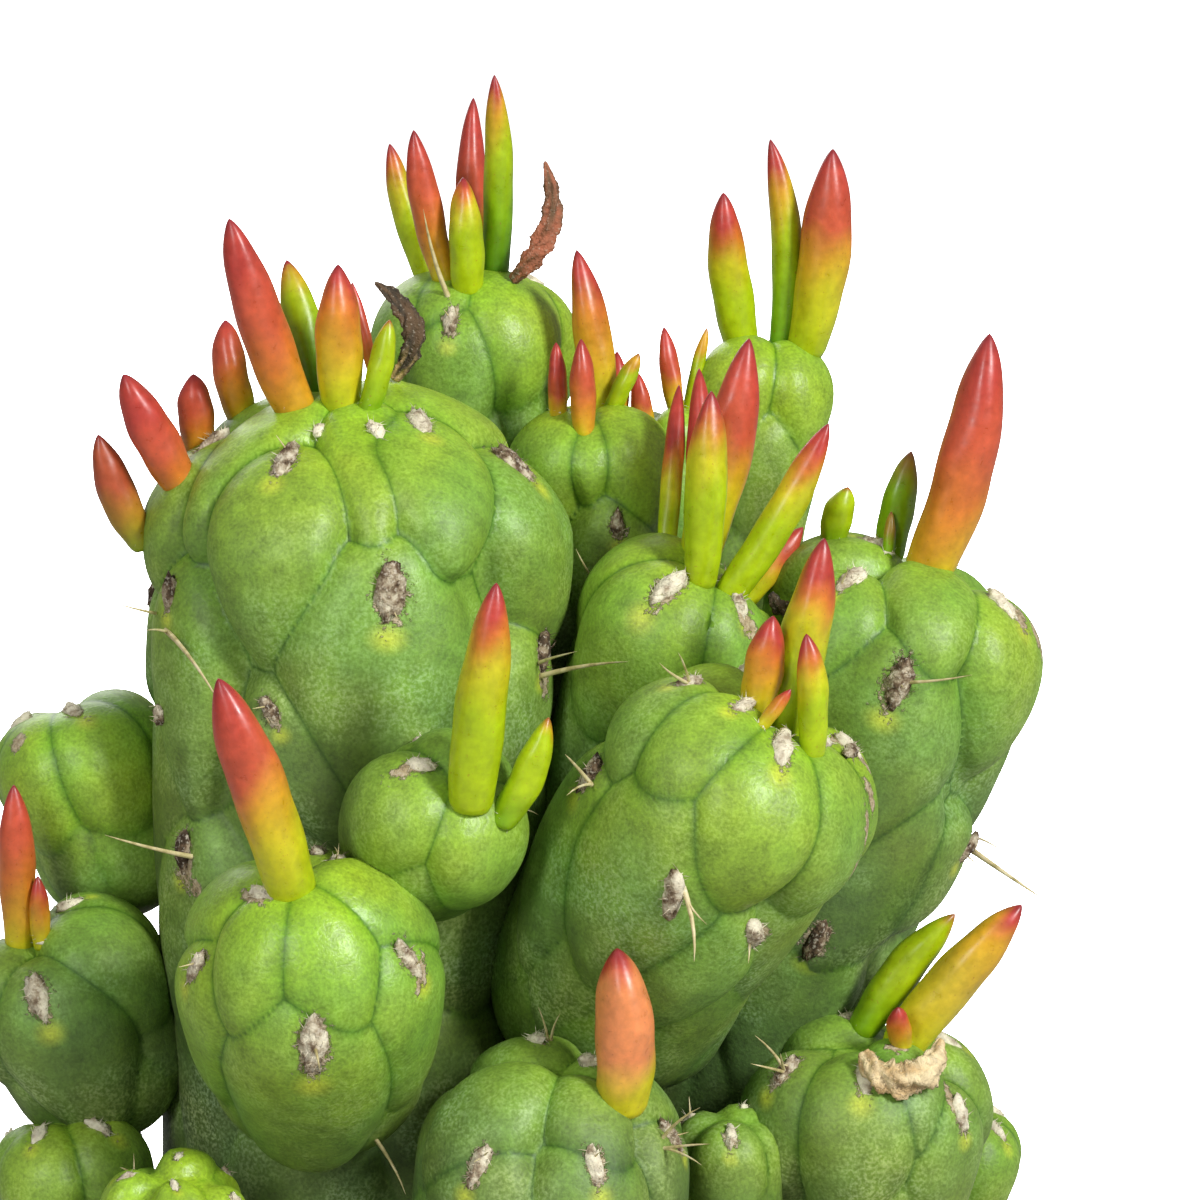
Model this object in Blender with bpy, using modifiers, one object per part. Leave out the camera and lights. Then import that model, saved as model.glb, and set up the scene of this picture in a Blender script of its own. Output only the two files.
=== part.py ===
"""A potted, clump-forming cactus with knobbly stems and finger-like young leaves.

The plant stands in a plain clay pot. Each stem is a capsule-shaped body around a bent centre
line, covered with swollen tubercles, and each leaf is a pointed finger with its foot on a stem.
Blender is in metres; the tables below are in millimetres and degrees.
The origin is the middle of the pot's foot, +Z is up and the plant's showing side faces -Y.
"""

import math

import bmesh
import bpy
import numpy as np
from mathutils.bvhtree import BVHTree

MM = 0.001
SKIN_GAP = 0.35  # clearance between two pieces that grow or lie against each other
OBJECT_NAME = "potted_cactus"

# ---------------------------------------------------------------- pot and soil
RIM_RADIUS = 80.0
RIM_HEIGHT = 100.0
RIM_BAND = 24.0
RIM_STEP = 4.0
FOOT_RADIUS = 54.0
WALL = 6.0
FLOOR = 8.0
DRAIN_RADIUS = 8.0
EDGE = 1.5
POT_STEPS = 32
BODY_TOP = RIM_HEIGHT - RIM_BAND
INSIDE = {  # the pot's inner wall, from its floor to its lip: height and radius
    "height": (FLOOR, FLOOR + 4, BODY_TOP, RIM_HEIGHT - EDGE),
    "radius": (FOOT_RADIUS - 2 * WALL, FOOT_RADIUS - WALL, RIM_RADIUS - 1.5 * WALL, RIM_RADIUS - WALL),
}

SOIL_LEVEL = 90.0
SOIL_CROWN = 3.0
SOIL_RIPPLE = 0.8
SOIL_RIPPLE_LENGTH = 17.0
SOIL_RINGS = 4

# ---------------------------------------------------------------- skin resolution
SECTOR_WIDTH = 12.0  # about the width of a face on the thickest part of a stem
RING_HEIGHT = 12.0  # the longest step down a straight stretch
DOME_BEND = math.radians(32)  # the greatest turn of the outline between two rings
HEEL_BEND = math.radians(75)
LEAF_SECTORS = 7
LEAF_RINGS = 7
TUBERCLE_POWER = 2.3
TUBERCLE_DEPTH_WEIGHT = 0.35
DOME_POWER = 2.4
PROFILE_POINTS = 24

LEAF_WIDEST = 0.6  # of the way from tip to foot
LEAF_POINT_POWER = 2.2
LEAF_FOOT_TAPER = 0.35
LEAF_SUNK = 1.2  # how deep a leaf's foot is set in the stem, with a quarter of its radius more
POLE = 1e-4


class Stem:
    """One stem: its centre line runs from foot to tip, pushed sideways by bow at the middle."""

    def __init__(self, name, foot, tip, radius, tubercles, bow=(0, 0, 0), foot_radius=0.8,
                 dome=0.7, heel=0.8, swell=3.0, width=9.0, rise=6.0, fall=14.0):
        self.name = name
        self.foot = np.array(foot, float)
        self.tip = np.array(tip, float)
        self.bend = (self.foot + self.tip) / 2 + np.array(bow, float)
        self.radius = radius
        self.foot_radius = radius * foot_radius
        self.dome = radius * dome
        self.heel = self.foot_radius * heel
        self.length = float(np.linalg.norm(self.tip - self.foot))
        self.swell = swell
        self.width = width
        self.rise = rise
        self.fall = fall
        self.tubercles = tubercles
        self.profile = self.make_profile()

    def make_profile(self):
        """Rows of (drop, radius, height): drop is measured along the skin from the tip."""
        shoulder = self.length - self.dome
        quarter = np.linspace(0, math.pi / 2, PROFILE_POINTS)
        heel_height = self.heel * (1 - np.cos(quarter))
        wall_height = np.linspace(self.heel, shoulder, PROFILE_POINTS)[1:-1]
        dome_height = shoulder + self.dome * np.sin(quarter)
        height = np.concatenate([heel_height, wall_height, dome_height])
        share = np.clip(height / shoulder, 0, 1)
        wall = self.foot_radius + (self.radius - self.foot_radius) * share * share * (3 - 2 * share)
        heel_share = np.clip((self.heel - height) / self.heel, 0, 1)
        dome_share = np.clip((height - shoulder) / self.dome, 0, 1)
        radius = wall * np.sqrt(1 - heel_share**2) * (1 - dome_share**DOME_POWER) ** (1 / DOME_POWER)
        steps = np.hypot(np.diff(radius), np.diff(height))
        along = np.concatenate([[0], np.cumsum(steps)])
        return np.stack([along[-1] - along, radius, height])[:, ::-1]

    @property
    def skin_length(self):
        return self.profile[0, -1]

    def ring_drops(self):
        """Drops of the mesh rings from tip to foot, closer together over the dome."""
        drop, radius, height = self.profile
        heading = np.unwrap(np.arctan2(np.diff(height), np.diff(radius)))
        bend = np.abs(np.diff(heading)) / np.where(height[1:-1] < self.heel, HEEL_BEND, DOME_BEND)
        rise = drop / RING_HEIGHT + np.concatenate([[0], np.cumsum(bend), [bend.sum()]])
        rings = math.ceil(rise[-1])
        return np.interp(np.linspace(0, rise[-1], rings + 1), rise, drop)

    def bare_skin(self, turn, drop):
        """Points of the stem without tubercles, for arrays of turn (radians) and drop."""
        radius = np.interp(drop, self.profile[0], self.profile[1])
        share = (np.interp(drop, self.profile[0], self.profile[2]) / self.length)[..., None]
        axis = ((1 - share) ** 2 * self.foot + 2 * share * (1 - share) * self.bend
                + share**2 * self.tip)
        along = 2 * (1 - share) * (self.bend - self.foot) + 2 * share * (self.tip - self.bend)
        along /= np.linalg.norm(along, axis=-1, keepdims=True)
        front = np.array([0.0, -1.0, 0.0])
        front = front - (along @ front)[..., None] * along
        front /= np.linalg.norm(front, axis=-1, keepdims=True)
        right = np.cross(along, front)
        out = np.cos(turn)[..., None] * front + np.sin(turn)[..., None] * right
        return axis + radius[..., None] * out

    def directions(self, turn, drop, step=0.4):
        """Unit vectors along the skin, up the stem and to the right of it, and out of it."""
        drop = np.clip(drop, 2 * step, self.skin_length - 2 * step)
        up = self.bare_skin(turn, drop - step) - self.bare_skin(turn, drop + step)
        across = self.bare_skin(turn + 0.05, drop) - self.bare_skin(turn - 0.05, drop)
        up /= np.linalg.norm(up, axis=-1, keepdims=True)
        out = np.cross(across, up)
        out /= np.linalg.norm(out, axis=-1, keepdims=True)
        return np.cross(up, out), up, out

    def skin(self, turn, drop, extra=0.0):
        """Points of the swollen skin, pushed out by extra more."""
        base = self.bare_skin(turn, drop)
        out = self.directions(turn, drop)[2]
        swelling = np.full(base.shape[:-1], 0.0)
        for row in self.tubercles:
            at, below, size = (*row, 1.0)[:3]
            spot = (np.array(math.radians(at)), np.array(float(below)))
            centre = self.bare_skin(*spot)
            across, up, outward = self.directions(*spot)
            away = base - centre
            side = (away @ across) / (self.width * size)
            lift = away @ up
            lift = np.where(lift > 0, lift / (self.rise * size), lift / (self.fall * size))
            depth = (away @ outward) / (self.width * size)
            distance = np.sqrt(side**2 + lift**2 + TUBERCLE_DEPTH_WEIGHT * depth**2)
            bulge = self.swell * size * (1 - distance**TUBERCLE_POWER)
            swelling = np.maximum(swelling, bulge)
        return base + (swelling + extra)[..., None] * out

    def spot_nearest(self, point):
        """The point of the skin closest to a given one."""
        turn, drop = np.meshgrid(np.linspace(-math.pi, math.pi, 73),
                                 np.linspace(0.5, self.skin_length - 0.5, 90))
        skin = self.skin(turn, drop)
        away = np.linalg.norm(skin - np.array(point, float), axis=-1)
        return skin[np.unravel_index(away.argmin(), away.shape)]


# ---------------------------------------------------------------- the plant
# A tubercle is (turn, drop[, size]): degrees round the stem from its front, to the right, and
# millimetres down the skin from the tip to its highest point.
STEMS = [
    Stem("main_stem", (-24.5, 2, 78), (-21, 2, 229.5), 23.6, [
        (-8, 5, 0.6), (-72, 11, 0.8), (60, 12, 0.85), (130, 13, 1.0), (-145, 13, 0.9),
        (-30, 24, 1.0), (26, 20, 0.95), (82, 28, 1.0), (-98, 27, 0.95), (150, 32), (-150, 34),
        (-62, 44), (8, 42, 1.1), (58, 47), (112, 50), (172, 52), (-118, 48),
        (-24, 60), (84, 60), (36, 70), (136, 72), (-86, 66), (-150, 70), (-50, 78),
        (6, 88), (60, 92), (-110, 92), (170, 92), (110, 98), (-30, 106), (-80, 112), (28, 114),
    ], bow=(-3, 0, 0), foot_radius=0.96, dome=0.55, swell=4.2, width=15.5, rise=9.5, fall=19.0),
    Stem("root_crown", (2, 8, 76), (6, 10, 142), 24.0, [
        (-40, 40), (20, 36), (80, 42), (140, 38), (-100, 40), (-160, 44),
    ], foot_radius=0.92, dome=0.8, swell=2.0, width=14.0, rise=8.0, fall=16.0),
    Stem("right_stem", (18, 6, 122), (50, 2, 208), 15.5, [
        (4, 9, 1.0), (-62, 10, 0.95), (66, 12, 1.05), (150, 11), (-140, 11, 0.9),
        (-20, 27, 1.1), (48, 33, 1.2), (104, 26), (-84, 28), (170, 28),
        (14, 52, 1.2), (78, 50, 1.1), (-42, 50), (130, 54), (-130, 50),
        (-12, 70), (50, 74), (100, 76),
    ], bow=(3, 0, -1), foot_radius=0.68, dome=0.65, swell=3.6, width=11.0, rise=8.0, fall=18.0),
    Stem("front_right_stem", (8, -4, 150), (31, -30, 196), 15.0, [
        (-26, 9, 1.1), (30, 9, 1.1), (92, 10, 0.95), (-88, 10, 0.95), (165, 10),
        (-4, 27, 0.9), (56, 28), (-60, 25, 1.05), (-112, 24), (120, 26),
        (10, 44), (-40, 42), (70, 44),
    ], bow=(-3, -5, 0), foot_radius=0.9, dome=0.8, swell=3.2, width=9.8, rise=7.5, fall=17.0),
    Stem("front_left_stem", (-24, -16, 145), (-25.5, -42, 179), 13.2, [
        (-34, 8, 0.95), (24, 7.5, 1.0), (96, 9, 1.0), (-108, 9, 0.9), (172, 10, 0.9),
        (-4, 25, 1.2), (64, 23, 1.05), (-72, 22, 1.0), (130, 25), (-140, 24),
    ], bow=(0, -3, -2), foot_radius=0.92, dome=0.85, swell=2.9, width=8.4, rise=6.5, fall=17.0),
    Stem("small_front_stem", (-13, -19, 176), (-8, -37, 189.5), 9.8, [
        (-58, 7, 1.1), (14, 7, 1.1), (80, 7, 0.8), (160, 7), (-130, 7),
    ], foot_radius=0.9, dome=0.9, swell=2.0, width=7.5, rise=5.5, fall=14.0),
    Stem("centre_stem", (11, 6, 172), (23, -4, 209.5), 10.4, [
        (-30, 9, 1.25), (-95, 8, 0.9), (40, 8, 0.95), (110, 8), (175, 8),
        (10, 22, 1.0), (-60, 24), (70, 22), (140, 24),
    ], bow=(-2, -1, 0), foot_radius=0.85, dome=0.9, swell=2.6, width=8.4, rise=6.0, fall=14.0),
    Stem("centre_back_stem", (9, 15, 140), (9, 22, 224), 9.8, [
        (-38, 6, 0.95), (12, 7, 0.75), (58, 6, 1.1), (130, 7), (-120, 7),
        (-10, 20, 0.9), (44, 21), (-80, 20), (110, 22), (-170, 20),
        (20, 38), (80, 38), (-50, 38),
    ], foot_radius=0.9, dome=0.8, swell=2.4, width=7.0, rise=5.5, fall=13.0),
    Stem("top_back_stem", (-14, 27, 146), (-5, 38, 240), 12.0, [
        (-46, 7, 0.8), (52, 7, 1.15), (118, 8), (-118, 8), (172, 8),
        (-14, 21, 1.1), (-66, 22), (96, 24), (40, 34), (150, 24), (-140, 24),
        (-30, 42), (80, 46), (10, 56), (-90, 46),
    ], bow=(0, 2, 0), foot_radius=0.9, dome=0.7, swell=3.0, width=8.8, rise=6.5, fall=17.0),
    Stem("right_back_stem", (16, 27, 132), (32, 38, 231), 7.8, [
        (38, 7, 1.15), (-50, 7, 1.0), (130, 7), (-140, 8),
        (0, 24), (90, 26), (-80, 26), (180, 24),
    ], foot_radius=0.9, dome=0.9, swell=2.0, width=6.5, rise=5.0, fall=15.0),
    Stem("gap_stem", (17, 23, 176), (20, 30, 224), 5.0, [
        (-40, 5), (50, 5), (150, 5), (0, 16), (90, 18), (-100, 18),
    ], foot_radius=0.9, dome=0.9, swell=1.2, width=4.5, rise=4.0, fall=9.0),
    Stem("left_stem", (-49, 8, 164), (-58, 6, 188.5), 9.4, [
        (-60, 6, 1.0), (-4, 7, 1.1), (60, 6, 1.1), (130, 6), (-140, 6),
    ], foot_radius=0.9, dome=0.8, swell=2.1, width=7.0, rise=5.0, fall=16.0),
    Stem("left_lower_stem", (-50, -2, 139), (-60.5, -8, 164), 11.0, [
        (-50, 7), (10, 8, 1.0), (66, 7, 1.1), (130, 7), (-120, 7),
        (28, 21, 1.0), (-30, 22), (90, 22), (-90, 22),
    ], foot_radius=0.9, dome=0.85, swell=2.4, width=8.2, rise=6.0, fall=15.0),
    Stem("left_foot_stem", (-47, -6, 84), (-58, -14, 141), 9.0, [
        (-30, 6), (40, 7, 1.1), (110, 6), (-110, 6), (180, 6), (0, 18), (70, 20), (-70, 20),
    ], foot_radius=0.9, dome=0.85, swell=2.0, width=7.0, rise=5.5, fall=13.0),
    Stem("low_bud_stem", (-36, -21, 84), (-42, -37, 142), 7.4, [
        (-50, 5), (20, 5), (90, 5), (160, 5), (-120, 5), (-10, 15), (60, 16), (-80, 16),
    ], foot_radius=0.9, dome=0.85, swell=1.7, width=5.6, rise=4.5, fall=11.0),
    Stem("front_foot_stem", (-2, -13, 88), (6, -38, 155), 14.0, [
        (-34, 9, 1.0), (28, 8, 1.0), (84, 9, 0.95), (-96, 9), (160, 9),
        (-62, 25), (-6, 24, 1.1), (52, 25), (110, 26), (-120, 26),
        (20, 40), (-36, 41), (80, 41),
    ], bow=(0, -3, 0), foot_radius=0.9, dome=0.85, swell=2.9, width=8.8, rise=6.5, fall=15.0),
    Stem("right_foot_stem", (31, -3, 84), (44.5, -13, 152), 13.2, [
        (-30, 8, 1.1), (34, 10, 1.1), (96, 9), (-96, 9), (170, 9),
        (0, 27, 1.0), (64, 27), (-62, 26), (122, 27), (-130, 26),
    ], bow=(2, -1, 0), foot_radius=0.85, dome=0.8, swell=3.0, width=9.2, rise=6.5, fall=18.0),
    Stem("right_edge_stem", (42, 9, 84), (57, 6, 136), 7.6, [
        (20, 5), (80, 6, 1.1), (140, 6), (-60, 6), (-150, 6), (50, 18), (110, 18),
    ], foot_radius=0.9, dome=0.8, swell=1.8, width=6.4, rise=5.0, fall=13.0),
    Stem("gap_foot_stem", (24, -17, 84), (26, -22, 145), 6.0, [
        (0, 5), (70, 5), (140, 5), (-70, 5), (-150, 5),
    ], foot_radius=0.9, dome=0.85, swell=1.4, width=5.0, rise=4.0, fall=13.0),
    Stem("back_left_stem", (-20, 32, 84), (-34, 50, 192), 13.0, [
        (-60, 8), (10, 8), (80, 8), (140, 8), (-130, 8),
        (-30, 24), (45, 24), (110, 24), (-170, 24), (-100, 24),
        (-60, 44), (10, 44), (80, 44), (150, 44), (-130, 44), (120, 62), (-170, 62), (-100, 62),
    ], bow=(0, 6, -4), foot_radius=0.85, dome=0.75, swell=3.0, width=9.0, rise=6.5, fall=17.0),
    Stem("back_right_stem", (18, 31, 84), (27, 52, 178), 12.4, [
        (-60, 8), (10, 8), (80, 8), (150, 8), (-130, 8),
        (-30, 24), (45, 24), (110, 24), (180, 24), (-100, 24),
        (80, 42), (150, 42), (-130, 42), (120, 60), (-160, 60),
    ], bow=(2, 6, -4), foot_radius=0.85, dome=0.75, swell=3.0, width=9.0, rise=6.5, fall=17.0),
    Stem("back_foot_stem", (-3, 44, 84), (-4, 62, 140), 10.0, [
        (-70, 7), (0, 7), (70, 7), (140, 7), (-140, 7), (180, 20), (110, 20), (-110, 20),
    ], foot_radius=0.85, dome=0.8, swell=2.3, width=7.4, rise=5.5, fall=15.0),
]
STEM = {stem.name: stem for stem in STEMS}

# A leaf is (name, stem, foot, tip, greatest radius, bow, colours). Its foot is moved to the
# nearest spot of that stem's skin.
LEAVES = [
    ("leaf_main_tall", "main_stem", (-28, -4, 229), (-35, -8, 254), 3.0, (-1, 0, 0), "red"),
    ("leaf_main_mid", "main_stem", (-22, -4, 230), (-22, -5, 248), 2.8, (0, -1, 0), "amber"),
    ("leaf_main_green", "main_stem", (-25, 4, 231), (-29, 6, 247), 2.3, (0.5, 0, 0), "green"),
    ("leaf_main_back", "main_stem", (-35, 8, 226), (-37, 9, 239), 2.3, (-1, 0, 0), "red"),
    ("leaf_main_left", "main_stem", (-43, -6, 222), (-49, -8, 232), 2.7, (-0.5, 0, 0), "red"),
    ("leaf_main_low_left", "main_stem", (-46, -3, 214), (-53, -5, 225), 2.3, (-1, 0, -1), "red"),
    ("leaf_main_left_back", "main_stem", (-40, 2, 222), (-41, 2, 232), 2.3, (0, 0, 0), "amber"),
    ("leaf_top_tall", "top_back_stem", (-4, 34, 241), (-3, 31, 269), 2.4, (1, 0, 0), "green"),
    ("leaf_top_mid", "top_back_stem", (-7, 40, 241), (-6, 42, 265), 2.3, (-1, 0, 0), "red"),
    ("leaf_top_left", "top_back_stem", (-10, 31, 240), (-14, 30, 262), 2.5, (-1, 0, 0), "red"),
    ("leaf_top_far_left", "top_back_stem", (-12, 38, 239), (-17, 39, 259), 1.9, (-1, 0, 0), "amber"),
    ("leaf_top_short", "top_back_stem", (-7, 29, 240), (-8, 28, 256), 2.3, (0, -0.5, 0), "amber"),
    ("leaf_centre_back_tall", "centre_back_stem", (10, 24, 225), (7, 24, 248), 2.6, (1, 0, 0), "amber"),
    ("leaf_right_back_tall", "right_back_stem", (37, 36, 231), (40, 34, 258), 3.3, (1.5, 0, 0), "red"),
    ("leaf_right_back_mid", "right_back_stem", (33, 38, 232), (32, 38, 260), 2.4, (3, 0, 0), "green"),
    ("leaf_right_back_left", "right_back_stem", (29, 36, 231), (26, 34, 253), 2.7, (-1, 0, 0), "amber"),
    ("leaf_centre_tall", "centre_stem", (24, -3, 213), (28, -2, 240), 3.1, (1, 0, 0), "red"),
    ("leaf_centre_front", "centre_stem", (23, -9, 211), (23, -9, 232), 2.6, (0, -1, 0), "amber"),
    ("leaf_centre_slanted", "centre_stem", (27, -8, 210), (38, -8, 228), 2.5, (1, 0, -1), "green"),
    ("leaf_fist_tall", "front_right_stem", (33, -29, 198), (37, -29, 216), 3.0, (1, 0, 0), "amber"),
    ("leaf_fist_left", "front_right_stem", (28, -31, 198), (30, -32, 207), 2.3, (0, 0, 0), "amber"),
    ("leaf_fist_low", "front_right_stem", (35, -34, 195), (35, -35, 205), 1.9, (1, 0, 0), "amber"),
    ("leaf_right_tall", "right_stem", (51, -2, 210), (58, -2, 239), 3.7, (2.5, 0, -1), "red"),
    ("leaf_right_green", "right_stem", (47, 4, 211), (49, 5, 223), 2.1, (-0.5, 0, 0), "green"),
    ("leaf_right_left", "right_stem", (39, 3, 211), (41, 2, 219), 1.9, (-0.5, 0, 0), "green"),
    ("leaf_front_left", "front_left_stem", (-26, -43, 180), (-34, -48, 206), 3.5, (0.5, -1, 0), "red"),
    ("leaf_small_front", "small_front_stem", (-5, -39, 190), (-2, -42, 216), 3.1, (0, -1, 0), "amber"),
    ("leaf_small_low", "small_front_stem", (-1, -37, 187), (4, -38, 199), 2.0, (1, 0, -1), "green"),
    ("leaf_left_lower", "left_lower_stem", (-62, -10, 166), (-62.5, -11, 184), 2.3, (0, 0, 0), "amber"),
    ("leaf_front_foot", "front_foot_stem", (12, -40, 152), (12, -42, 172), 3.7, (1.5, -1, 0), "red"),
    ("leaf_right_foot", "right_foot_stem", (48, -15, 152), (62, -16, 170), 3.1, (0, 0, 1), "amber"),
    ("leaf_right_foot_back", "right_foot_stem", (44, -12, 156), (54, -13, 168), 2.4, (-1, 0, 1),
     "green"),
    ("leaf_back_left_tall", "back_left_stem", (-35, 51, 194), (-41, 58, 216), 3.0, (0, 1, 0), "red"),
    ("leaf_back_left_short", "back_left_stem", (-30, 54, 192), (-27, 61, 206), 2.5, (0, 1, 0), "amber"),
    ("leaf_back_right", "back_right_stem", (28, 54, 180), (32, 62, 201), 3.0, (0, 1, 0), "red"),
]

# ---------------------------------------------------------------- finishes
FINISHES = {
    "clay": ((0.62, 0.30, 0.18), 0.85),
    "soil": ((0.10, 0.07, 0.05), 0.95),
    "skin": ((0.27, 0.45, 0.10), 0.45),
    "red": ((0.80, 0.20, 0.13), 0.35),
    "amber": ((0.82, 0.55, 0.10), 0.35),
    "green": ((0.45, 0.60, 0.06), 0.35),
}


def material(name):
    """A Principled material with the finish's colour and roughness."""
    made = bpy.data.materials.get(name)
    if made:
        return made
    colour, roughness = FINISHES[name]
    made = bpy.data.materials.new(name)
    made.use_nodes = True
    shader = made.node_tree.nodes["Principled BSDF"]
    shader.inputs["Base Color"].default_value = (*colour, 1.0)
    shader.inputs["Roughness"].default_value = roughness
    shader.inputs["Metallic"].default_value = 0.0
    made.diffuse_color = (*colour, 1.0)
    return made


def collection(name):
    made = bpy.data.collections.new(name)
    bpy.context.scene.collection.children.link(made)
    return made


def add_object(name, mesh, group, finish):
    thing = bpy.data.objects.new(name, mesh)
    thing.data.materials.append(material(finish))
    group.objects.link(thing)
    return thing


def shaped_sphere(name, sectors, rings, place):
    """A UV sphere whose points are moved by place(turn, share): share is 0 at the top pole."""
    shape = bmesh.new()
    bmesh.ops.create_uvsphere(shape, u_segments=sectors, v_segments=rings, radius=1.0)
    bmesh.ops.triangulate(shape, faces=shape.faces, quad_method="FIXED")
    points = np.array([vertex.co for vertex in shape.verts])
    turn = np.arctan2(points[:, 0], -points[:, 1])
    share = np.arccos(np.clip(points[:, 2], -1, 1)) / math.pi
    for vertex, point in zip(shape.verts, place(turn, share) * MM):
        vertex.co = point
    mesh = bpy.data.meshes.new(name)
    shape.to_mesh(mesh)
    shape.free()
    mesh.shade_smooth()
    return mesh


def stem_mesh(stem, extra=0.0):
    girth = 2 * math.pi * (stem.radius + stem.swell / 2)
    sectors = 2 * round(4.5 + girth / SECTOR_WIDTH / 2)
    drops = stem.ring_drops()
    shares = np.linspace(0, 1, len(drops))
    return shaped_sphere(
        stem.name, sectors, len(drops) - 1,
        lambda turn, share: stem.skin(turn, np.interp(share, shares, drops), extra))


def leaf_mesh(leaf, extra=0.0):
    """A finger: widest below its middle, rounded at its foot and drawn out to a point."""
    name, stem_name, foot, tip, radius, bow, _ = leaf
    foot = STEM[stem_name].spot_nearest(foot)
    tip = np.array(tip, float)
    along = (tip - foot) / np.linalg.norm(tip - foot)
    root = foot - along * (LEAF_SUNK + radius / 4)
    bend = (root + tip) / 2 + np.array(bow, float)
    side = np.cross((0.0, 1.0, 0.0), along)
    side /= np.linalg.norm(side)
    back = np.cross(along, side)

    def place(turn, share):
        rise = (1 - share)[:, None]
        centre = (1 - rise) ** 2 * root + 2 * rise * (1 - rise) * bend + rise**2 * tip
        to_tip = np.clip(1 - share / LEAF_WIDEST, 0, 1)
        to_foot = np.clip((share - LEAF_WIDEST) / (1 - LEAF_WIDEST), 0, 1)
        taper = (1 - to_tip**LEAF_POINT_POWER) * (1 - LEAF_FOOT_TAPER * to_foot**2)
        at_tip = (share < POLE)[:, None]
        at_foot = (share > 1 - POLE)[:, None]
        out = np.cos(turn)[:, None] * -back + np.sin(turn)[:, None] * side
        out = np.where(at_tip | at_foot, 0, out)
        push = out + np.where(at_tip, along, 0) - np.where(at_foot, along, 0)
        return centre + (taper * radius)[:, None] * out + extra * push

    return shaped_sphere(name, LEAF_SECTORS, LEAF_RINGS, place)


def turned(name, profile, steps, group, finish):
    """A solid turned about Z from (radius, height) points that run down the outer side.

    A profile that starts on the axis ends on it too; any other one is closed to a ring.
    """
    mesh = bpy.data.meshes.new(name)
    shape = bmesh.new()
    points = [shape.verts.new((radius * MM, 0, height * MM)) for radius, height in profile]
    for start, end in zip(points, points[1:]):
        shape.edges.new((start, end))
    if profile[0][0] > 0:
        shape.edges.new((points[-1], points[0]))
    shape.to_mesh(mesh)
    shape.free()
    thing = add_object(name, mesh, group, finish)
    screw = thing.modifiers.new("turn", "SCREW")
    screw.steps = screw.render_steps = steps
    screw.use_merge_vertices = True
    screw.merge_threshold = 0.00001
    screw.use_smooth_shade = True
    return thing


def make_pot(group):
    """A plain clay pot with a rim band and a drain hole."""
    inside = list(zip(INSIDE["radius"], INSIDE["height"]))
    profile = [
        (RIM_RADIUS - WALL + EDGE, RIM_HEIGHT), (RIM_RADIUS - EDGE, RIM_HEIGHT),
        (RIM_RADIUS, RIM_HEIGHT - EDGE), (RIM_RADIUS - EDGE, BODY_TOP + EDGE),
        (RIM_RADIUS - 2 * EDGE, BODY_TOP), (RIM_RADIUS - RIM_STEP - EDGE, BODY_TOP - EDGE),
        (FOOT_RADIUS, 2 * EDGE), (FOOT_RADIUS - EDGE, 0),
        (DRAIN_RADIUS, 0), (DRAIN_RADIUS, FLOOR),
    ]
    return turned("pot", profile + inside, POT_STEPS, group, "clay")


def make_soil(group):
    """The filling: it follows the pot's inside and is heaped slightly towards the middle."""
    heights = [FLOOR + SKIN_GAP, FLOOR + 4 + SKIN_GAP, BODY_TOP, SOIL_LEVEL]
    rim, *side = [(np.interp(height, INSIDE["height"], INSIDE["radius"]) - SKIN_GAP, height)
                  for height in reversed(heights)]
    heap = []
    for step in range(SOIL_RINGS):
        radius = rim[0] * step / SOIL_RINGS
        crown = SOIL_CROWN * math.cos(step / SOIL_RINGS * math.pi / 2)
        ripple = SOIL_RIPPLE * math.sin(radius / SOIL_RIPPLE_LENGTH * 2 * math.pi)
        heap.append((radius, SOIL_LEVEL + crown + ripple))
    return turned("soil", heap + [rim] + side + [(0, heights[0])], POT_STEPS, group, "soil")


def tree_of(thing):
    """The object's evaluated surface, in world space, for finding overlaps."""
    evaluated = thing.evaluated_get(bpy.context.evaluated_depsgraph_get())
    mesh = evaluated.to_mesh()
    points = [thing.matrix_world @ vertex.co for vertex in mesh.vertices]
    faces = [tuple(face.vertices) for face in mesh.polygons]
    evaluated.to_mesh_clear()
    return BVHTree.FromPolygons(points, faces)


def cut(thing, cutter):
    """Takes the cutter's space out of a piece, with the EXACT solver."""
    step = thing.modifiers.new(f"clear_{cutter.name}"[:60], "BOOLEAN")
    step.operation = "DIFFERENCE"
    step.solver = "EXACT"
    step.object = cutter


def make_cutter(name, mesh, cutters):
    cutter = add_object(name, mesh, cutters, "skin")
    cutter.hide_render = True
    cutter.display_type = "WIRE"
    return cutter


def make_plant(group, cutters):
    """Stems and leaves in order: each one is cut clear of those before it that it meets."""
    pieces = [(stem.name, stem_mesh, stem, "skin") for stem in STEMS]
    pieces += [(leaf[0], leaf_mesh, leaf, leaf[6]) for leaf in LEAVES]
    placed = []
    for name, build, spec, finish in pieces:
        thing = add_object(name, build(spec), group, finish)
        cutter = make_cutter(name + "_clearance", build(spec, SKIN_GAP), cutters)
        bpy.context.view_layer.update()
        surface = tree_of(cutter)
        for other_cutter, other_surface in placed:
            if surface.overlap(other_surface):
                cut(thing, other_cutter)
        placed.append((cutter, surface))
    return placed


def make_object():
    for thing in list(bpy.data.objects):
        bpy.data.objects.remove(thing)
    group = collection(OBJECT_NAME)
    cutters = collection("cutters")
    make_pot(group)
    soil = make_soil(group)
    placed = make_plant(group, cutters)
    bpy.context.view_layer.update()
    ground = tree_of(soil)
    for cutter, surface in placed:
        if ground.overlap(surface):
            cut(soil, cutter)
    return group


make_object()
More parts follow.
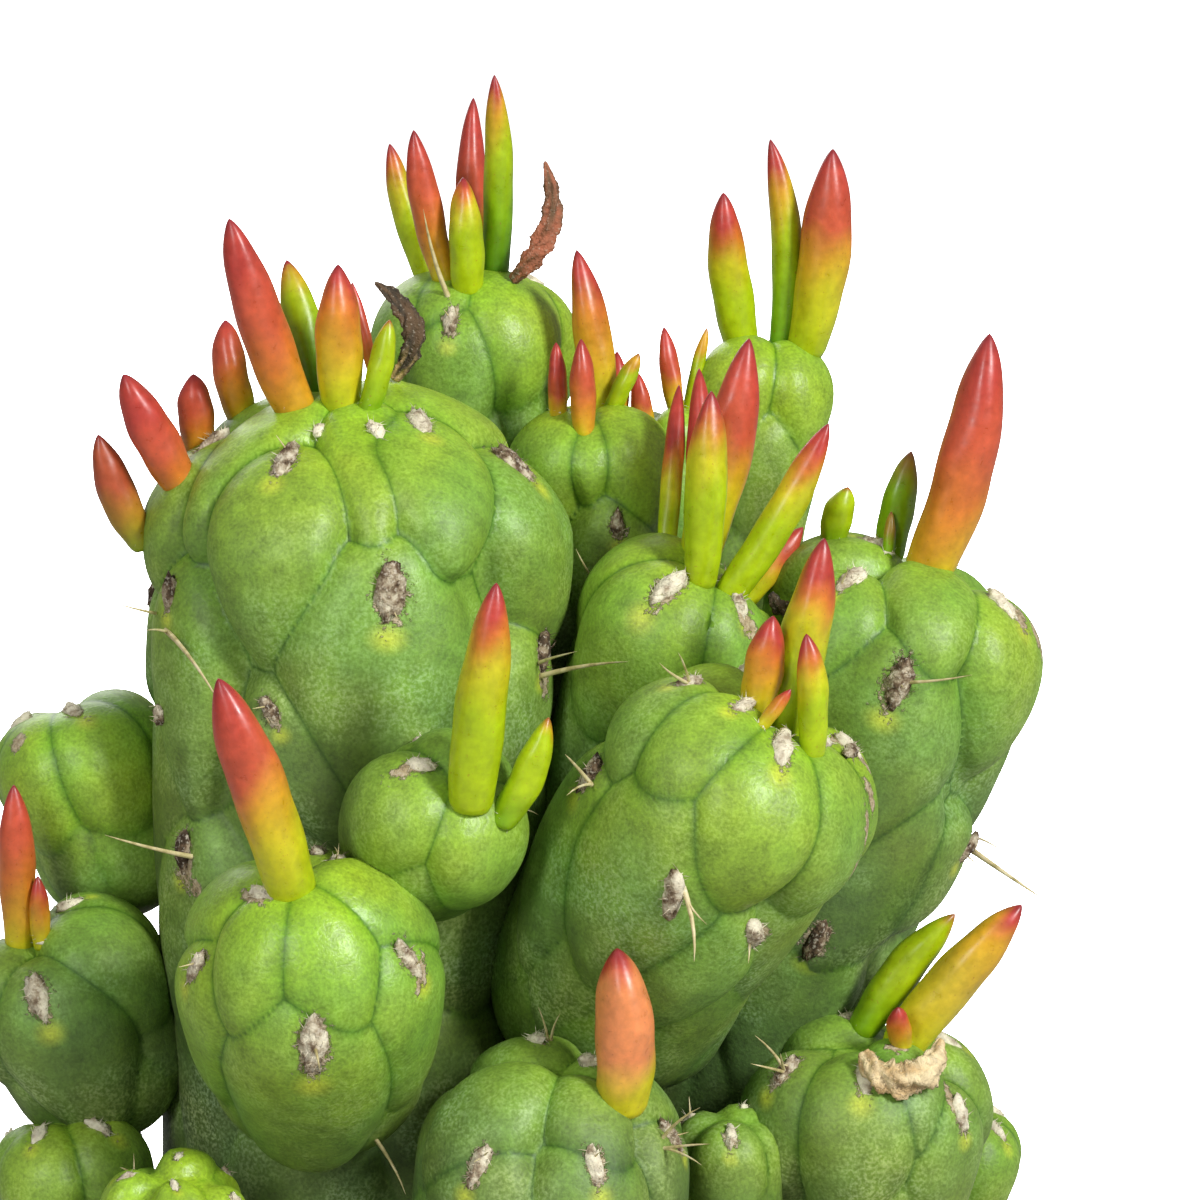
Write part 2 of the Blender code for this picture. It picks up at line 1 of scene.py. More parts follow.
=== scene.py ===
# %% [markdown]
# # A potted, clump-forming cactus
#
# This notebook dresses the plain solids of a potted cactus. The plant is a clump of short fat
# stems covered in swollen scales. Each scale carries a felt pad, and the young ones at the top
# of a stem carry a pointed, finger-like leaf as well.
#
# We load the solids first, because they say how big everything is and where it stands. Each
# solid is then replaced by a finer piece that fills the same space.

import math
from collections import namedtuple
from functools import cache

import bpy
import numpy as np
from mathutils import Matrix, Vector


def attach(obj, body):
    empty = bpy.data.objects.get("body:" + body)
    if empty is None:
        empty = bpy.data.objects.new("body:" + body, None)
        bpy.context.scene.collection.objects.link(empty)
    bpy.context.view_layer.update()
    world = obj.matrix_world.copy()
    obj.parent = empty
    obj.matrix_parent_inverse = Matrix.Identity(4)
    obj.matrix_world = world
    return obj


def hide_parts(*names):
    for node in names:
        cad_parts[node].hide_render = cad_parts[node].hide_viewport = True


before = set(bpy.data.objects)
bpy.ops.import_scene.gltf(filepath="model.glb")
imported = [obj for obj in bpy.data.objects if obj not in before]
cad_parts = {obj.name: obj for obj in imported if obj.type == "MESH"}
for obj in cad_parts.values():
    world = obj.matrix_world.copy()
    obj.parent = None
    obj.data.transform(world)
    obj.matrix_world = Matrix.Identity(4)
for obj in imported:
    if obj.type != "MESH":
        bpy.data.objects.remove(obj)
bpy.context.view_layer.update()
MM = 0.001

# %% [markdown]
# ## The camera
#
# The camera looks at the upper half of the plant from slightly above, with a long lens, as one
# does to show a small plant without bending its outline. Depth of field stays off.

# %% Camera
CAMERA_AIM = Vector((10, 0, 205)) * MM
CAMERA_RISE = math.radians(12)
CAMERA_DISTANCE = 600 * MM
LENS_LENGTH, FILM_WIDTH = 144, 36  # millimetres
NEAREST_SEEN, FARTHEST_SEEN = 0.01, 100  # metres

camera = bpy.data.objects.new("camera", bpy.data.cameras.new("camera"))
bpy.context.scene.collection.objects.link(camera)
camera.data.lens, camera.data.sensor_width = LENS_LENGTH, FILM_WIDTH
camera.data.clip_start, camera.data.clip_end = NEAREST_SEEN, FARTHEST_SEEN
camera.location = CAMERA_AIM + CAMERA_DISTANCE * Vector(
    (0, -math.cos(CAMERA_RISE), math.sin(CAMERA_RISE)))
camera.rotation_euler = (CAMERA_AIM - camera.location).to_track_quat("-Z", "Y").to_euler()
bpy.context.scene.camera = camera
print("camera at", [round(value, 3) for value in camera.location])

# %% [markdown]
# ## The bare stem
#
# Under its scales a stem is a capsule round a bent centre line: a rounded heel, a wall that
# widens slowly, and a domed tip. A turned shape bent along a curve would do, but a formula is
# handier here, because it gives any point of the skin from two numbers: `turn`, the angle round
# the stem from its front, and `drop`, the distance down the skin from the tip. That is how one
# finds a place on a real stem with a tape measure, and it makes every mark easy to place.

# %% Two helpers for soft forms
def smooth_step(value):
    """0 below 0, 1 above 1, and a soft rise between."""
    value = np.clip(value, 0.0, 1.0)
    return value * value * (3 - 2 * value)


def unit(vectors):
    return vectors / np.linalg.norm(vectors, axis=-1, keepdims=True)


print("a soft rise:", smooth_step(np.linspace(0, 1, 5)).round(2))

# %% The bare stem
PROFILE_POINTS = 24
HEEL = 0.8  # how tall the rounded heel is, in radii of the foot
TURN_STEP, DROP_STEP = 0.05, 0.4  # steps for measuring which way the skin runs
FRONT = np.array([0.0, -1.0, 0.0])


class BareStem:
    """A capsule on a bent centre line, close to the solid of that name, in millimetres.

    The foot's radius and the dome's height are shares of the radius. The dome is pointed when
    its peak is below 2, and blunt above.
    """

    def __init__(self, foot, tip, radius, bow=(0, 0, 0), foot_radius=0.8, dome=0.7, peak=2.4):
        self.foot, self.tip = np.array(foot, float), np.array(tip, float)
        self.bend = (self.foot + self.tip) / 2 + np.array(bow, float)
        self.radius, self.foot_radius = radius, radius * foot_radius
        self.dome, self.heel, self.peak = radius * dome, radius * foot_radius * HEEL, peak
        self.length = float(np.linalg.norm(self.tip - self.foot))
        self.profile = self.make_profile()
        self.skin_length = self.profile[0, -1]

    def make_profile(self):
        """Rows of drop, radius and height, from tip to foot."""
        shoulder = self.length - self.dome
        quarter = np.linspace(0, math.pi / 2, PROFILE_POINTS)
        height = np.concatenate([
            self.heel * (1 - np.cos(quarter)),
            np.linspace(self.heel, shoulder, PROFILE_POINTS)[1:-1],
            shoulder + self.dome * np.sin(quarter)])
        share = np.clip(height / shoulder, 0, 1)
        wall = self.foot_radius + (self.radius - self.foot_radius) * smooth_step(share)
        heel_share = np.clip((self.heel - height) / self.heel, 0, 1)
        dome_share = np.clip((height - shoulder) / self.dome, 0, 1)
        radius = wall * np.sqrt(1 - heel_share**2)
        radius *= (1 - dome_share**self.peak) ** (1 / self.peak)
        along = np.concatenate([[0], np.cumsum(np.hypot(np.diff(radius), np.diff(height)))])
        return np.stack([along[-1] - along, radius, height])[:, ::-1]

    def bare_skin(self, turn, drop):
        """The skin's points before any scale lifts them."""
        radius = np.interp(drop, self.profile[0], self.profile[1])
        share = (np.interp(drop, self.profile[0], self.profile[2]) / self.length)[..., None]
        axis = ((1 - share) ** 2 * self.foot + 2 * share * (1 - share) * self.bend
                + share**2 * self.tip)
        along = unit(2 * (1 - share) * (self.bend - self.foot)
                     + 2 * share * (self.tip - self.bend))
        front = unit(FRONT - (along @ FRONT)[..., None] * along)
        right = np.cross(along, front)
        out = np.cos(turn)[..., None] * front + np.sin(turn)[..., None] * right
        return axis + radius[..., None] * out

    def directions(self, turn, drop):
        """Unit vectors across the skin, up it and out of it."""
        drop = np.clip(drop, 2 * DROP_STEP, self.skin_length - 2 * DROP_STEP)
        up = unit(self.bare_skin(turn, drop - DROP_STEP) - self.bare_skin(turn, drop + DROP_STEP))
        across = self.bare_skin(turn + TURN_STEP, drop) - self.bare_skin(turn - TURN_STEP, drop)
        out = unit(np.cross(across, up))
        return np.cross(up, out), up, out


print("the skin of a bare test stem is", round(BareStem((0, 0, 0), (0, 0, 60), 12).skin_length),
      "mm long from tip to foot")

# %% [markdown]
# ## A scale
#
# A scale is a long swollen cushion under a felt pad: widest just below the pad, narrower towards
# its lower end, and a little higher there, so that it overhangs the next one. Scales could be
# modelled one by one and joined, but joins between soft forms are hard to keep clean. Here each
# scale is a rule that says how high it lifts the skin. The highest rule wins at each point, so
# neighbours meet in a crease by themselves, as they do on the plant.

# %% Numbers of a scale
SCALE_POWER = 4.2  # how flat the top of a scale is
SCALE_SPREAD = 1.22  # how far a rule reaches past the crease where its neighbour takes over
NOSE = 0.85  # its widest place, below its felt pad, in half widths
RISE = 1.35  # from the widest place to its upper edge, in half widths
SCALE_NARROWING, NARROWING_POWER = 0.55, 1.3  # how much width it loses towards its lower end
SCALE_SHOULDER, SHOULDER_POWER = 0.25, 1.5  # and towards its upper end
SHINGLE = 0.22  # how much higher the lower end stands than the upper
SHINGLE_TOP = -0.4  # how far up the scale that slope goes on, in lengths
DEPTH_WEIGHT = 0.16  # keeps a scale off the far side of its stem
TIP_SIZE, FULL_SIZE_DROP = 0.72, 14  # a scale at the tip is this share of one that has grown
CROWN_FROM, CROWN_TO = 4.0, 13.0  # drops between which its length comes to follow the skin
CROWD_ACROSS, CROWD_ALONG = 0.82, 0.42  # how close two scales may come, in their sizes
PIT_WIDTH, PIT_LENGTH = 0.2, 0.4  # the dip that the felt sits in, in half widths
HALO_WIDTH, HALO_LENGTH, HALO_DROP = 0.17, 0.15, 0.46  # the yellow spot below it, likewise
print("a scale's rule reaches past its crease by a share of", round(SCALE_SPREAD - 1, 2))

# %% The scale rule
class Scale:
    """One scale: where its felt pad is on a stem, its half width, its length and its lean."""

    def __init__(self, stem, turn, drop, half_width=None, fall=None, lean=0.0, padded=True):
        self.turn, self.drop = math.radians(turn), float(drop)
        grown_up = TIP_SIZE + (1 - TIP_SIZE) * smooth_step(drop / FULL_SIZE_DROP)
        self.half_width = half_width or stem.width * grown_up
        self.fall = fall or stem.fall * grown_up
        self.lean = math.radians(lean)
        self.padded = padded
        self.swell = stem.swell * (self.half_width / stem.width) ** 0.5
        self.clear = 1.0  # how clearly its creases show
        self.centre = stem.bare_skin(np.array(self.turn), np.array(self.drop))
        self.across, self.up, self.out = stem.directions(np.array(self.turn), np.array(self.drop))

    def place(self, points, drop):
        """Where points are on the scale: to its side, below its pad, and out from the skin."""
        away = points - self.centre
        side, low = away @ self.across, -(away @ self.up)
        along = smooth_step((self.drop - CROWN_FROM) / (CROWN_TO - CROWN_FROM))
        low = low + (drop - self.drop - low) * along
        swing, hold = math.sin(self.lean), math.cos(self.lean)
        return side * hold - low * swing, low * hold + side * swing, away @ self.out

    def height(self, side, low, depth):
        """How high the scale lifts the skin."""
        low = low - NOSE * self.half_width
        down = low / (self.fall * SCALE_SPREAD)
        lift = np.where(low > 0, down, -low / (RISE * self.half_width * SCALE_SPREAD))
        narrowing = np.where(low > 0, SCALE_NARROWING * np.clip(down, 0, 1) ** NARROWING_POWER,
                             SCALE_SHOULDER * np.clip(lift, 0, 1) ** SHOULDER_POWER)
        width = self.half_width * SCALE_SPREAD * (1 - narrowing)
        square = (side / width) ** 2 + lift**2 + DEPTH_WEIGHT * (depth / self.half_width) ** 2
        slope = 1 + SHINGLE * np.clip(down, SHINGLE_TOP, 1)
        return self.swell * (slope - square ** (SCALE_POWER / 2))

    def pit(self, side, low, depth):
        """How deep in the dip under its felt pad a point is."""
        if not self.padded:
            return 0
        near = (side / (PIT_WIDTH * self.half_width)) ** 2 + (depth / self.half_width) ** 2
        return np.exp(-near - (low / (PIT_LENGTH * self.half_width)) ** 2)

    def halo(self, side, low):
        """How deep in the yellow spot below its pad a point is."""
        if not self.padded:
            return 0
        near = (side / (HALO_WIDTH * self.half_width)) ** 2
        below = (low - HALO_DROP * self.half_width) / (HALO_LENGTH * self.half_width)
        return np.exp(-near - below**2)

    def crowds(self, other):
        """Whether another scale leaves no room for this one."""
        away = other.centre - self.centre
        across = CROWD_ACROSS * (self.half_width + other.half_width)
        along = CROWD_ALONG * (self.fall + other.fall)
        reach = ((away @ self.across / across) ** 2 + (away @ self.up / along) ** 2
                 + (away @ self.out / across) ** 2)
        return reach <= 1


print("a scale tells its", [name for name in vars(Scale) if not name.startswith("_")])

# %% [markdown]
# ## A stem with its scales
#
# The scales that give a stem its face are named one by one. The others follow the plant's own
# rule: each new scale turns by the golden angle from the last. A try that would crowd a scale
# that is there already is left out.
#
# The relief is then the height of the highest rule, with its creases rounded and its depth
# fading down the stem, where old scales are stretched flat. It also gives the marks that the
# finish needs, such as how young the skin is and how close the next crease.

# %% The stem
GOLDEN_TURN = math.radians(137.508)
FILL_TRIES, FILL_FIRST = 3, 3.0  # tries in the room of one scale, and the first one's drop
BARE_FRONT = math.radians(100)  # nearer the front than this, only the named scales have a pad
FILL_SWELL = 0.62  # how much the scales that fill the rest swell, next to the named ones


class Stem(BareStem):
    """A bare stem with its scales and scars; what isn't named here goes to the bare stem."""

    def __init__(self, foot, tip, radius, scales=(), swell=3.0, width=6.0, fall=14.0, fresh=0.5,
                 grain=0.6, first=0.0, seen=60, **bare):
        super().__init__(foot, tip, radius, **bare)
        self.swell, self.width, self.fall = swell, width, fall
        self.fresh, self.grain, self.seen = fresh, grain, seen
        self.scales = [Scale(self, *row) for row in scales]
        self.named = len(scales)
        self.fill_with_scales(math.radians(first))
        self.scars = []

    def fill_with_scales(self, first):
        """Sets scales in a golden spiral wherever the named ones leave room."""
        step = self.width * self.fall / (2 * math.pi * self.radius) / FILL_TRIES
        for number in range(int((self.skin_length - self.heel) / step)):
            turn = (first + number * GOLDEN_TURN + math.pi) % (2 * math.pi) - math.pi
            scale = Scale(self, math.degrees(turn), FILL_FIRST + number * step,
                          padded=not self.named or abs(turn) > BARE_FRONT)
            if not any(scale.crowds(other) for other in self.scales):
                scale.swell *= FILL_SWELL if self.named else 1
                scale.clear = FILL_SWELL
                self.scales.append(scale)

    def heights(self, turn, drop):
        """How high each scale's rule is at the points, one row for each scale."""
        base = self.bare_skin(turn, drop)
        return np.stack([scale.height(*scale.place(base, drop)) for scale in self.scales])


test_stem = Stem((0, 0, 0), (0, 0, 60), 12)
print("a test stem has", len(test_stem.scales), "scales")

# %% Age, cork and unevenness of the skin
AGE_REACH, FRESH_REACH = 10, 34  # how far down the skin stays young, and on a fresh stem
AGE_START, FRESH_START = 0.55, 0.6  # how young the tip is, likewise
SCAR_DEPTH = 4  # how thick a corky scar is, so that it stays on its side of the stem


def youth(stem, drop):
    """About 1 at the tip of a young stem and towards 0 further down; lower on the stems whose shade is
    painted in.
    """
    return np.exp(-drop / (AGE_REACH + FRESH_REACH * stem.fresh)) * (AGE_START + FRESH_START * stem.fresh)


def corkiness(stem, base, drop):
    """How corky the skin is at its scars."""
    cork = np.zeros(drop.shape)
    for scar in stem.scars:
        side, low, depth = scar.place(base, drop)
        near = (side / scar.half_width) ** 2 + (low / scar.fall) ** 2 + (depth / SCAR_DEPTH) ** 2
        cork = np.maximum(cork, np.exp(-near))
    return cork


def lumps(points):
    """The slight unevenness of anything grown: two sizes of gentle waves, in millimetres."""
    x, y, z = points[..., 0], points[..., 1], points[..., 2]
    broad = np.sin(x / 5.1 + 1.3 * np.sin(z / 7.7)) * np.sin(y / 4.7 + 0.7) * np.sin(z / 6.3 + x / 9)
    small = np.sin(x / 1.9 + y / 2.6) * np.sin(z / 2.2 + 1.7 * np.sin(x / 3.1)) * np.sin(y / 1.7)
    return 0.34 * broad + 0.07 * small


print("youth of the test stem down its skin:", youth(test_stem, np.linspace(0, 60, 4)).round(2))

# %% The relief: the highest rule wins
LOWEST = -50.0  # below what any rule gives
CREASE_ROUND = 0.3  # how wide the bottom of a crease is rounded
CREASE_SHADE, CREASE_SHADE_POWER = 0.75, 1.5  # how far up its sides a crease gets painted shade
EDGE_SHADE = 0.9  # the height over which a scale's edge gets painted shade, a deeper green
SKIN_FLOOR, FLOOR_SOFTNESS = -0.7, 0.4  # the lowest the skin sinks between scales, and how gently
FADE, FADE_FROM, FADE_OVER = 0.6, 35, 80  # how much relief is lost down the stem, and where
PIT_DEPTH = 0.45
OWN_AGE, PAD_AGE = 0.6, 0.4  # the skin's age goes by its own drop and by its pad's


def relief(stem, turn, drop):
    """The skin's points, with the marks that its finish needs."""
    base = stem.bare_skin(turn, drop)
    best = np.full(turn.shape, LOWEST)
    second = best.copy()
    young, tone, along, halo, pit, plain = (np.zeros(turn.shape) for _ in range(6))
    for number, scale in enumerate(stem.scales):
        side, low, depth = scale.place(base, drop)
        height = scale.height(side, low, depth)
        higher = height > best
        second = np.where(higher, best, np.maximum(second, height))
        best = np.maximum(best, height)
        young = np.where(higher, youth(stem, PAD_AGE * scale.drop + OWN_AGE * drop), young)
        tone = np.where(higher, math.sin(number * 2.4) * 0.5 + 0.5, tone)
        whole = scale.fall + NOSE * scale.half_width
        along = np.where(higher, np.clip(low / whole, 0, 1), along)
        halo = np.where(higher, scale.halo(side, low), halo)
        pit = np.maximum(pit, scale.pit(side, low, depth))
        plain = np.where(higher, scale.clear, plain)
    gap = best - second
    height = best + np.clip(1 - gap / CREASE_ROUND, 0, 1) ** 2 * CREASE_ROUND / 4
    over_floor = np.logaddexp(0, (height - SKIN_FLOOR) / FLOOR_SOFTNESS)
    height = SKIN_FLOOR + FLOOR_SOFTNESS * over_floor
    fade = 1 - FADE * smooth_step((drop - FADE_FROM) / FADE_OVER)
    height = height * fade - PIT_DEPTH * pit + lumps(base)
    # these marks say where the skin's colour is darkened as painted shade: in each crease and near each
    # scale's edge
    crease = np.clip(1 - gap / CREASE_SHADE, 0, 1) ** CREASE_SHADE_POWER
    marks = {"young": young, "tone": tone, "along": along, "halo": halo, "pit": pit,
             "crease": crease * fade * plain, "edge": np.exp(-gap / EDGE_SHADE) * plain,
             "cork": corkiness(stem, base, drop)}
    return base + height[..., None] * stem.directions(turn, drop)[2], marks


print("marks on the skin:", ", ".join(relief(test_stem, np.zeros(1), np.ones(1))[1]))

# %% [markdown]
# ## The stems of the clump
#
# Each stem's foot, tip, radius and bow are close to those of its solid. The rows under `scales`
# are the scales that give a stem its own face: turn in degrees, drop of the felt pad, half
# width, length below the widest place, lean in degrees, and whether there is a pad. `swell` is
# how high the scales stand. `width` and `fall` are the half width and length of those that have
# no row, and `first` is the turn at which their spiral begins. `fresh` says how young
# the skin is, and on the stems that stand in shade it is set lower, to paint that shade in as
# older, darker skin. `grain` and `seen` say how fine the mesh is and how far down.

# %% The tall middle stem
STEMS = {"main_stem": Stem(
    (-23.5, 2, 78), (-20, 2, 229.5), 22.6, bow=(-1, 0, 0), foot_radius=0.98, dome=0.7, peak=1.5,
    swell=4.6, width=8.6, fall=19, fresh=0.75, grain=0.5, seen=95, first=100, scales=[
        (-26, 18, 7.8, 20, 3), (42, 11, 7.8, 13, -16), (76, 20, 8.6, 18),
        (6, 6, 5.2, 18.5, 3, False), (-58, 6, 5.6, 20, 4, False), (-80, 18, 6.4, 16, 8),
        (-58, 35, 6.8, 20, 6), (-86, 38, 5.0, 9), (12, 32, 10.4, 17, -3), (67, 42, 7.5, 14, -20),
        (-20, 47, 6.4, 12, 28), (-52, 67, 8.0, 18), (95, 3, 7.6, 9, 0, False), (-125, 8, 7.0, 12),
        (42, 62, 8.5, 18, 0, False), (-4, 74, 8.5, 20, 0, False), (40, 88, 9.0, 20, 0, False),
        (-14, 100, 9.0, 22, 0, False), (20, 118, 9.0, 22, 0, False),
    ])}
print("scales on the tall stem:", len(STEMS["main_stem"].scales))

# %% The stems on its right
STEMS["right_stem"] = Stem(
    (18, 6, 122), (50, 2, 208), 15.5, bow=(3, 0, -1), foot_radius=0.68, dome=0.65, swell=3.8,
    width=7.2, fall=16, fresh=0.5, grain=0.46, seen=85, first=200, scales=[
        (8, 4, 5.6, 13, 0, False), (-42, 13, 5.8, 14, 6), (-100, 6, 5.6, 9), (58, 11, 7.0, 21, 2),
        (-2, 21, 9.4, 18, -4), (24, 38, 8.4, 17, -12, False), (4, 55, 7.8, 18),
        (-60, 36, 7.0, 16, 0, False), (68, 41, 6.8, 16, -50), (84, 62, 8.0, 20, 0, False),
    ])
STEMS["front_right_stem"] = Stem(
    (8, -4, 150), (31, -30, 196), 15.0, bow=(-3, -5, 0), foot_radius=0.9, dome=0.8, swell=3.6,
    width=6.8, fall=15, fresh=0.55, grain=0.46, seen=70, first=60, scales=[
        (-54, 6, 5.8, 12.5, 28), (6, 7, 7.4, 16, 6), (-86, 11, 5.2, 11, 35), (112, 9, 6.0, 17, -10),
        (-66, 24, 7.5, 18, 6), (-26, 20, 9.5, 15, 8, False), (14, 28, 7.5, 12, 0, False),
        (66, 7, 6.4, 16, -12, False),
    ])
STEMS["centre_stem"] = Stem(
    (11, 6, 172), (23, -4, 209.5), 10.4, bow=(-2, -1, 0), foot_radius=0.85, dome=0.9, swell=2.9,
    width=6.4, fall=13, fresh=0.5, grain=0.48, seen=40, first=150, scales=[
        (-26, 8, 8.2, 15, -5), (-104, 5, 6.0, 9, 0, False), (40, 7, 5.2, 12), (86, 12, 5.4, 12),
    ])
# its low fresh value also paints in the shade that this stem stands in, as older, darker skin
STEMS["right_foot_stem"] = Stem(
    (31, -3, 84), (44.5, -13, 152), 13.2, bow=(2, -1, 0), foot_radius=0.85, dome=0.8, swell=3.3,
    width=6.2, fall=14, fresh=0.18, grain=0.5, seen=35, first=40, scales=[
        (-8, 10, 7.0, 16), (48, 14, 6.0, 14), (-56, 13, 6.4, 14), (96, 8, 5.6, 12),
        (22, 5, 4.6, 9, 0, False),
    ])
STEMS["right_edge_stem"] = Stem(
    (42, 9, 84), (57, 6, 136), 7.6, foot_radius=0.9, dome=0.8, swell=2.0, width=4.4, fall=11,
    fresh=0.3, grain=0.6, seen=25, first=110, scales=[(50, 5, 4.6, 11), (112, 4, 4.4, 11)])
# its low fresh value also paints in the shade that this stem stands in, as older, darker skin
STEMS["gap_foot_stem"] = Stem(
    (24, -17, 84), (26, -22, 145), 6.0, foot_radius=0.9, dome=0.85, swell=1.5, width=4.0, fall=11,
    fresh=0.05, grain=0.7, seen=20, first=10, scales=[(0, 5, 4.4, 11)])
print("stems so far:", len(STEMS))

# %% The stems in front
STEMS["front_left_stem"] = Stem(
    (-24, -16, 147.5), (-25, -42, 179), 13.2, bow=(0, -3, -2), foot_radius=0.9, dome=1.05, peak=1.7,
    swell=3.3, width=6.3, fall=14, fresh=0.62, grain=0.46, seen=60, first=250, scales=[
        (-45, 4, 5.4, 10, 10, False), (20, 3.5, 5.8, 11, 0, False), (100, 4, 6.2, 10, 0, False),
        (-110, 6, 5.4, 9, 0, False), (66, 14, 6.8, 25, -8), (4, 17, 9.4, 27, -6), (-70, 15, 6.0, 24, 6),
    ])
STEMS["small_front_stem"] = Stem(
    (-12.5, -19, 176), (-8, -37, 189), 9.3, foot_radius=0.9, dome=0.95, swell=2.0, width=6.4,
    fall=11, fresh=0.28, grain=0.46, seen=35, first=180, scales=[
        (-70, 3, 7.0, 16, 0, False), (70, 3, 7.0, 16, 0, False), (170, 5, 6.0, 10, 0, False),
    ])
# its low fresh value also paints in the shade that this stem stands in, as older, darker skin
STEMS["front_foot_stem"] = Stem(
    (-2, -13, 88), (5, -38, 155), 14.0, bow=(0, -3, 0), foot_radius=0.9, dome=0.9, peak=1.8, swell=3.2,
    width=6.4, fall=13, fresh=0.04, grain=0.5, seen=35, first=330, scales=[
        (-36, 15, 6.6, 13), (24, 13, 6.4, 13), (84, 15, 6.2, 13), (-160, 8, 6.0, 12),
        (-60, 5, 6.2, 10, 0, False), (40, 4, 4.6, 9, -8, False), (112, 6, 5.6, 11),
    ])
STEMS["low_bud_stem"] = Stem(
    (-36, -21, 84), (-42, -37, 142), 7.4, foot_radius=0.9, dome=0.85, swell=1.9, width=3.8,
    fall=9, fresh=0.6, grain=0.6, seen=20, first=20)
print("stems so far:", len(STEMS))

# %% The stems on its left
STEMS["left_stem"] = Stem(
    (-49, 8, 164), (-58, 6, 188.5), 9.4, foot_radius=0.9, dome=0.8, swell=2.5, width=4.8, fall=13,
    fresh=0.55, grain=0.52, seen=45, first=90, scales=[
        (28, 4, 6.2, 22), (-38, 4, 5.8, 18, 0, False), (92, 5, 5.4, 16, 0, False), (-100, 5, 5.2, 13),
    ])
# its low fresh value also paints in the shade that this stem stands in, as older, darker skin
STEMS["left_lower_stem"] = Stem(
    (-50, -2, 139), (-60.5, -8, 164), 11.0, foot_radius=0.9, dome=0.85, swell=2.7, width=5.6,
    fall=13, fresh=0.12, grain=0.52, seen=45, first=310, scales=[
        (-4, 11, 7.6, 17), (60, 5, 6.0, 15, 0, False), (-66, 6, 6.0, 14, 0, False), (112, 5, 5.2, 11),
    ])
STEMS["left_foot_stem"] = Stem(
    (-47, -6, 84), (-58, -14, 141), 9.0, foot_radius=0.9, dome=0.85, swell=2.2, width=5.0, fall=12,
    fresh=0.3, grain=0.65, seen=20, first=140, scales=[(60, 6, 5.2, 12), (-20, 4, 5.0, 12)])
print("stems so far:", len(STEMS))

# %% The stems behind
STEMS["top_back_stem"] = Stem(
    (-14, 27, 146), (-6, 37, 239), 10.9, bow=(0, 2, 0), foot_radius=0.9, dome=0.8, swell=3.3,
    width=6.0, fall=15, fresh=0.6, grain=0.52, seen=35, first=200, scales=[
        (-14, 12, 5.6, 14, 4), (48, 3, 6.2, 19, -20, False), (-66, 6, 5.4, 12, 0, False),
        (104, 6, 5.8, 15), (-26, 3, 4.4, 7, 0, False),
    ])
STEMS["centre_back_stem"] = Stem(
    (9, 15, 140), (9, 22, 224), 9.8, foot_radius=0.9, dome=0.8, swell=2.7, width=5.2, fall=13,
    fresh=0.6, grain=0.55, seen=30, first=70, scales=[
        (-44, 4, 5.4, 11, 0, False), (46, 4, 5.4, 14, -6, False), (16, 19, 5.6, 12),
        (-2, 6, 3.0, 8, 0, False),
    ])
STEMS["right_back_stem"] = Stem(
    (16, 27, 132), (32, 38, 231), 7.8, foot_radius=0.9, dome=0.9, swell=2.3, width=4.4, fall=14,
    fresh=0.6, grain=0.55, seen=35, first=300, scales=[
        (-34, 4, 4.8, 13, 0, False), (52, 4, 4.8, 16, 0, False),
    ])
STEMS["gap_stem"] = Stem(
    (17, 23, 176), (20, 30, 224), 5.0, foot_radius=0.9, dome=0.9, swell=1.3, width=3.2, fall=8,
    fresh=0.7, grain=0.7, seen=10)
STEMS["root_crown"] = Stem(
    (2, 8, 76), (6, 10, 142), 24.0, foot_radius=0.92, dome=0.8, swell=2.0, width=10.0, fall=16,
    fresh=0.1, grain=1.6, seen=0)
STEMS["back_left_stem"] = Stem(
    (-20, 32, 84), (-34, 50, 192), 13.0, bow=(0, 6, -4), foot_radius=0.85, dome=0.75, swell=3.3,
    width=6.2, fall=15, fresh=0.55, grain=0.9, seen=200, first=15)
STEMS["back_right_stem"] = Stem(
    (18, 31, 84), (27, 52, 178), 12.4, bow=(2, 6, -4), foot_radius=0.85, dome=0.75, swell=3.3,
    width=6.2, fall=15, fresh=0.55, grain=0.9, seen=200, first=75)
STEMS["back_foot_stem"] = Stem(
    (-3, 44, 84), (-4, 62, 140), 10.0, foot_radius=0.85, dome=0.8, swell=2.5, width=5.2, fall=13,
    fresh=0.4, grain=0.9, seen=200, first=230)
print("stems in all:", len(STEMS), "with", sum(len(stem.scales) for stem in STEMS.values()), "scales")

# %% [markdown]
# ## Corky scars
#
# Old wounds on the skin close over with brown cork. A scar is placed as a scale is, by turn and
# drop, and it only changes the skin's finish. Painting them would be quicker, but a painted map
# would hold one plant's scars for good, and a row here can be moved by a number.

# %% Corky scars: turn, drop, half width, half length and lean
def by_stem(table):
    """The rows of a table that lists them under their stem, each with its stem's name first."""
    return [(name, *row) for name, rows in table.items() for row in rows]


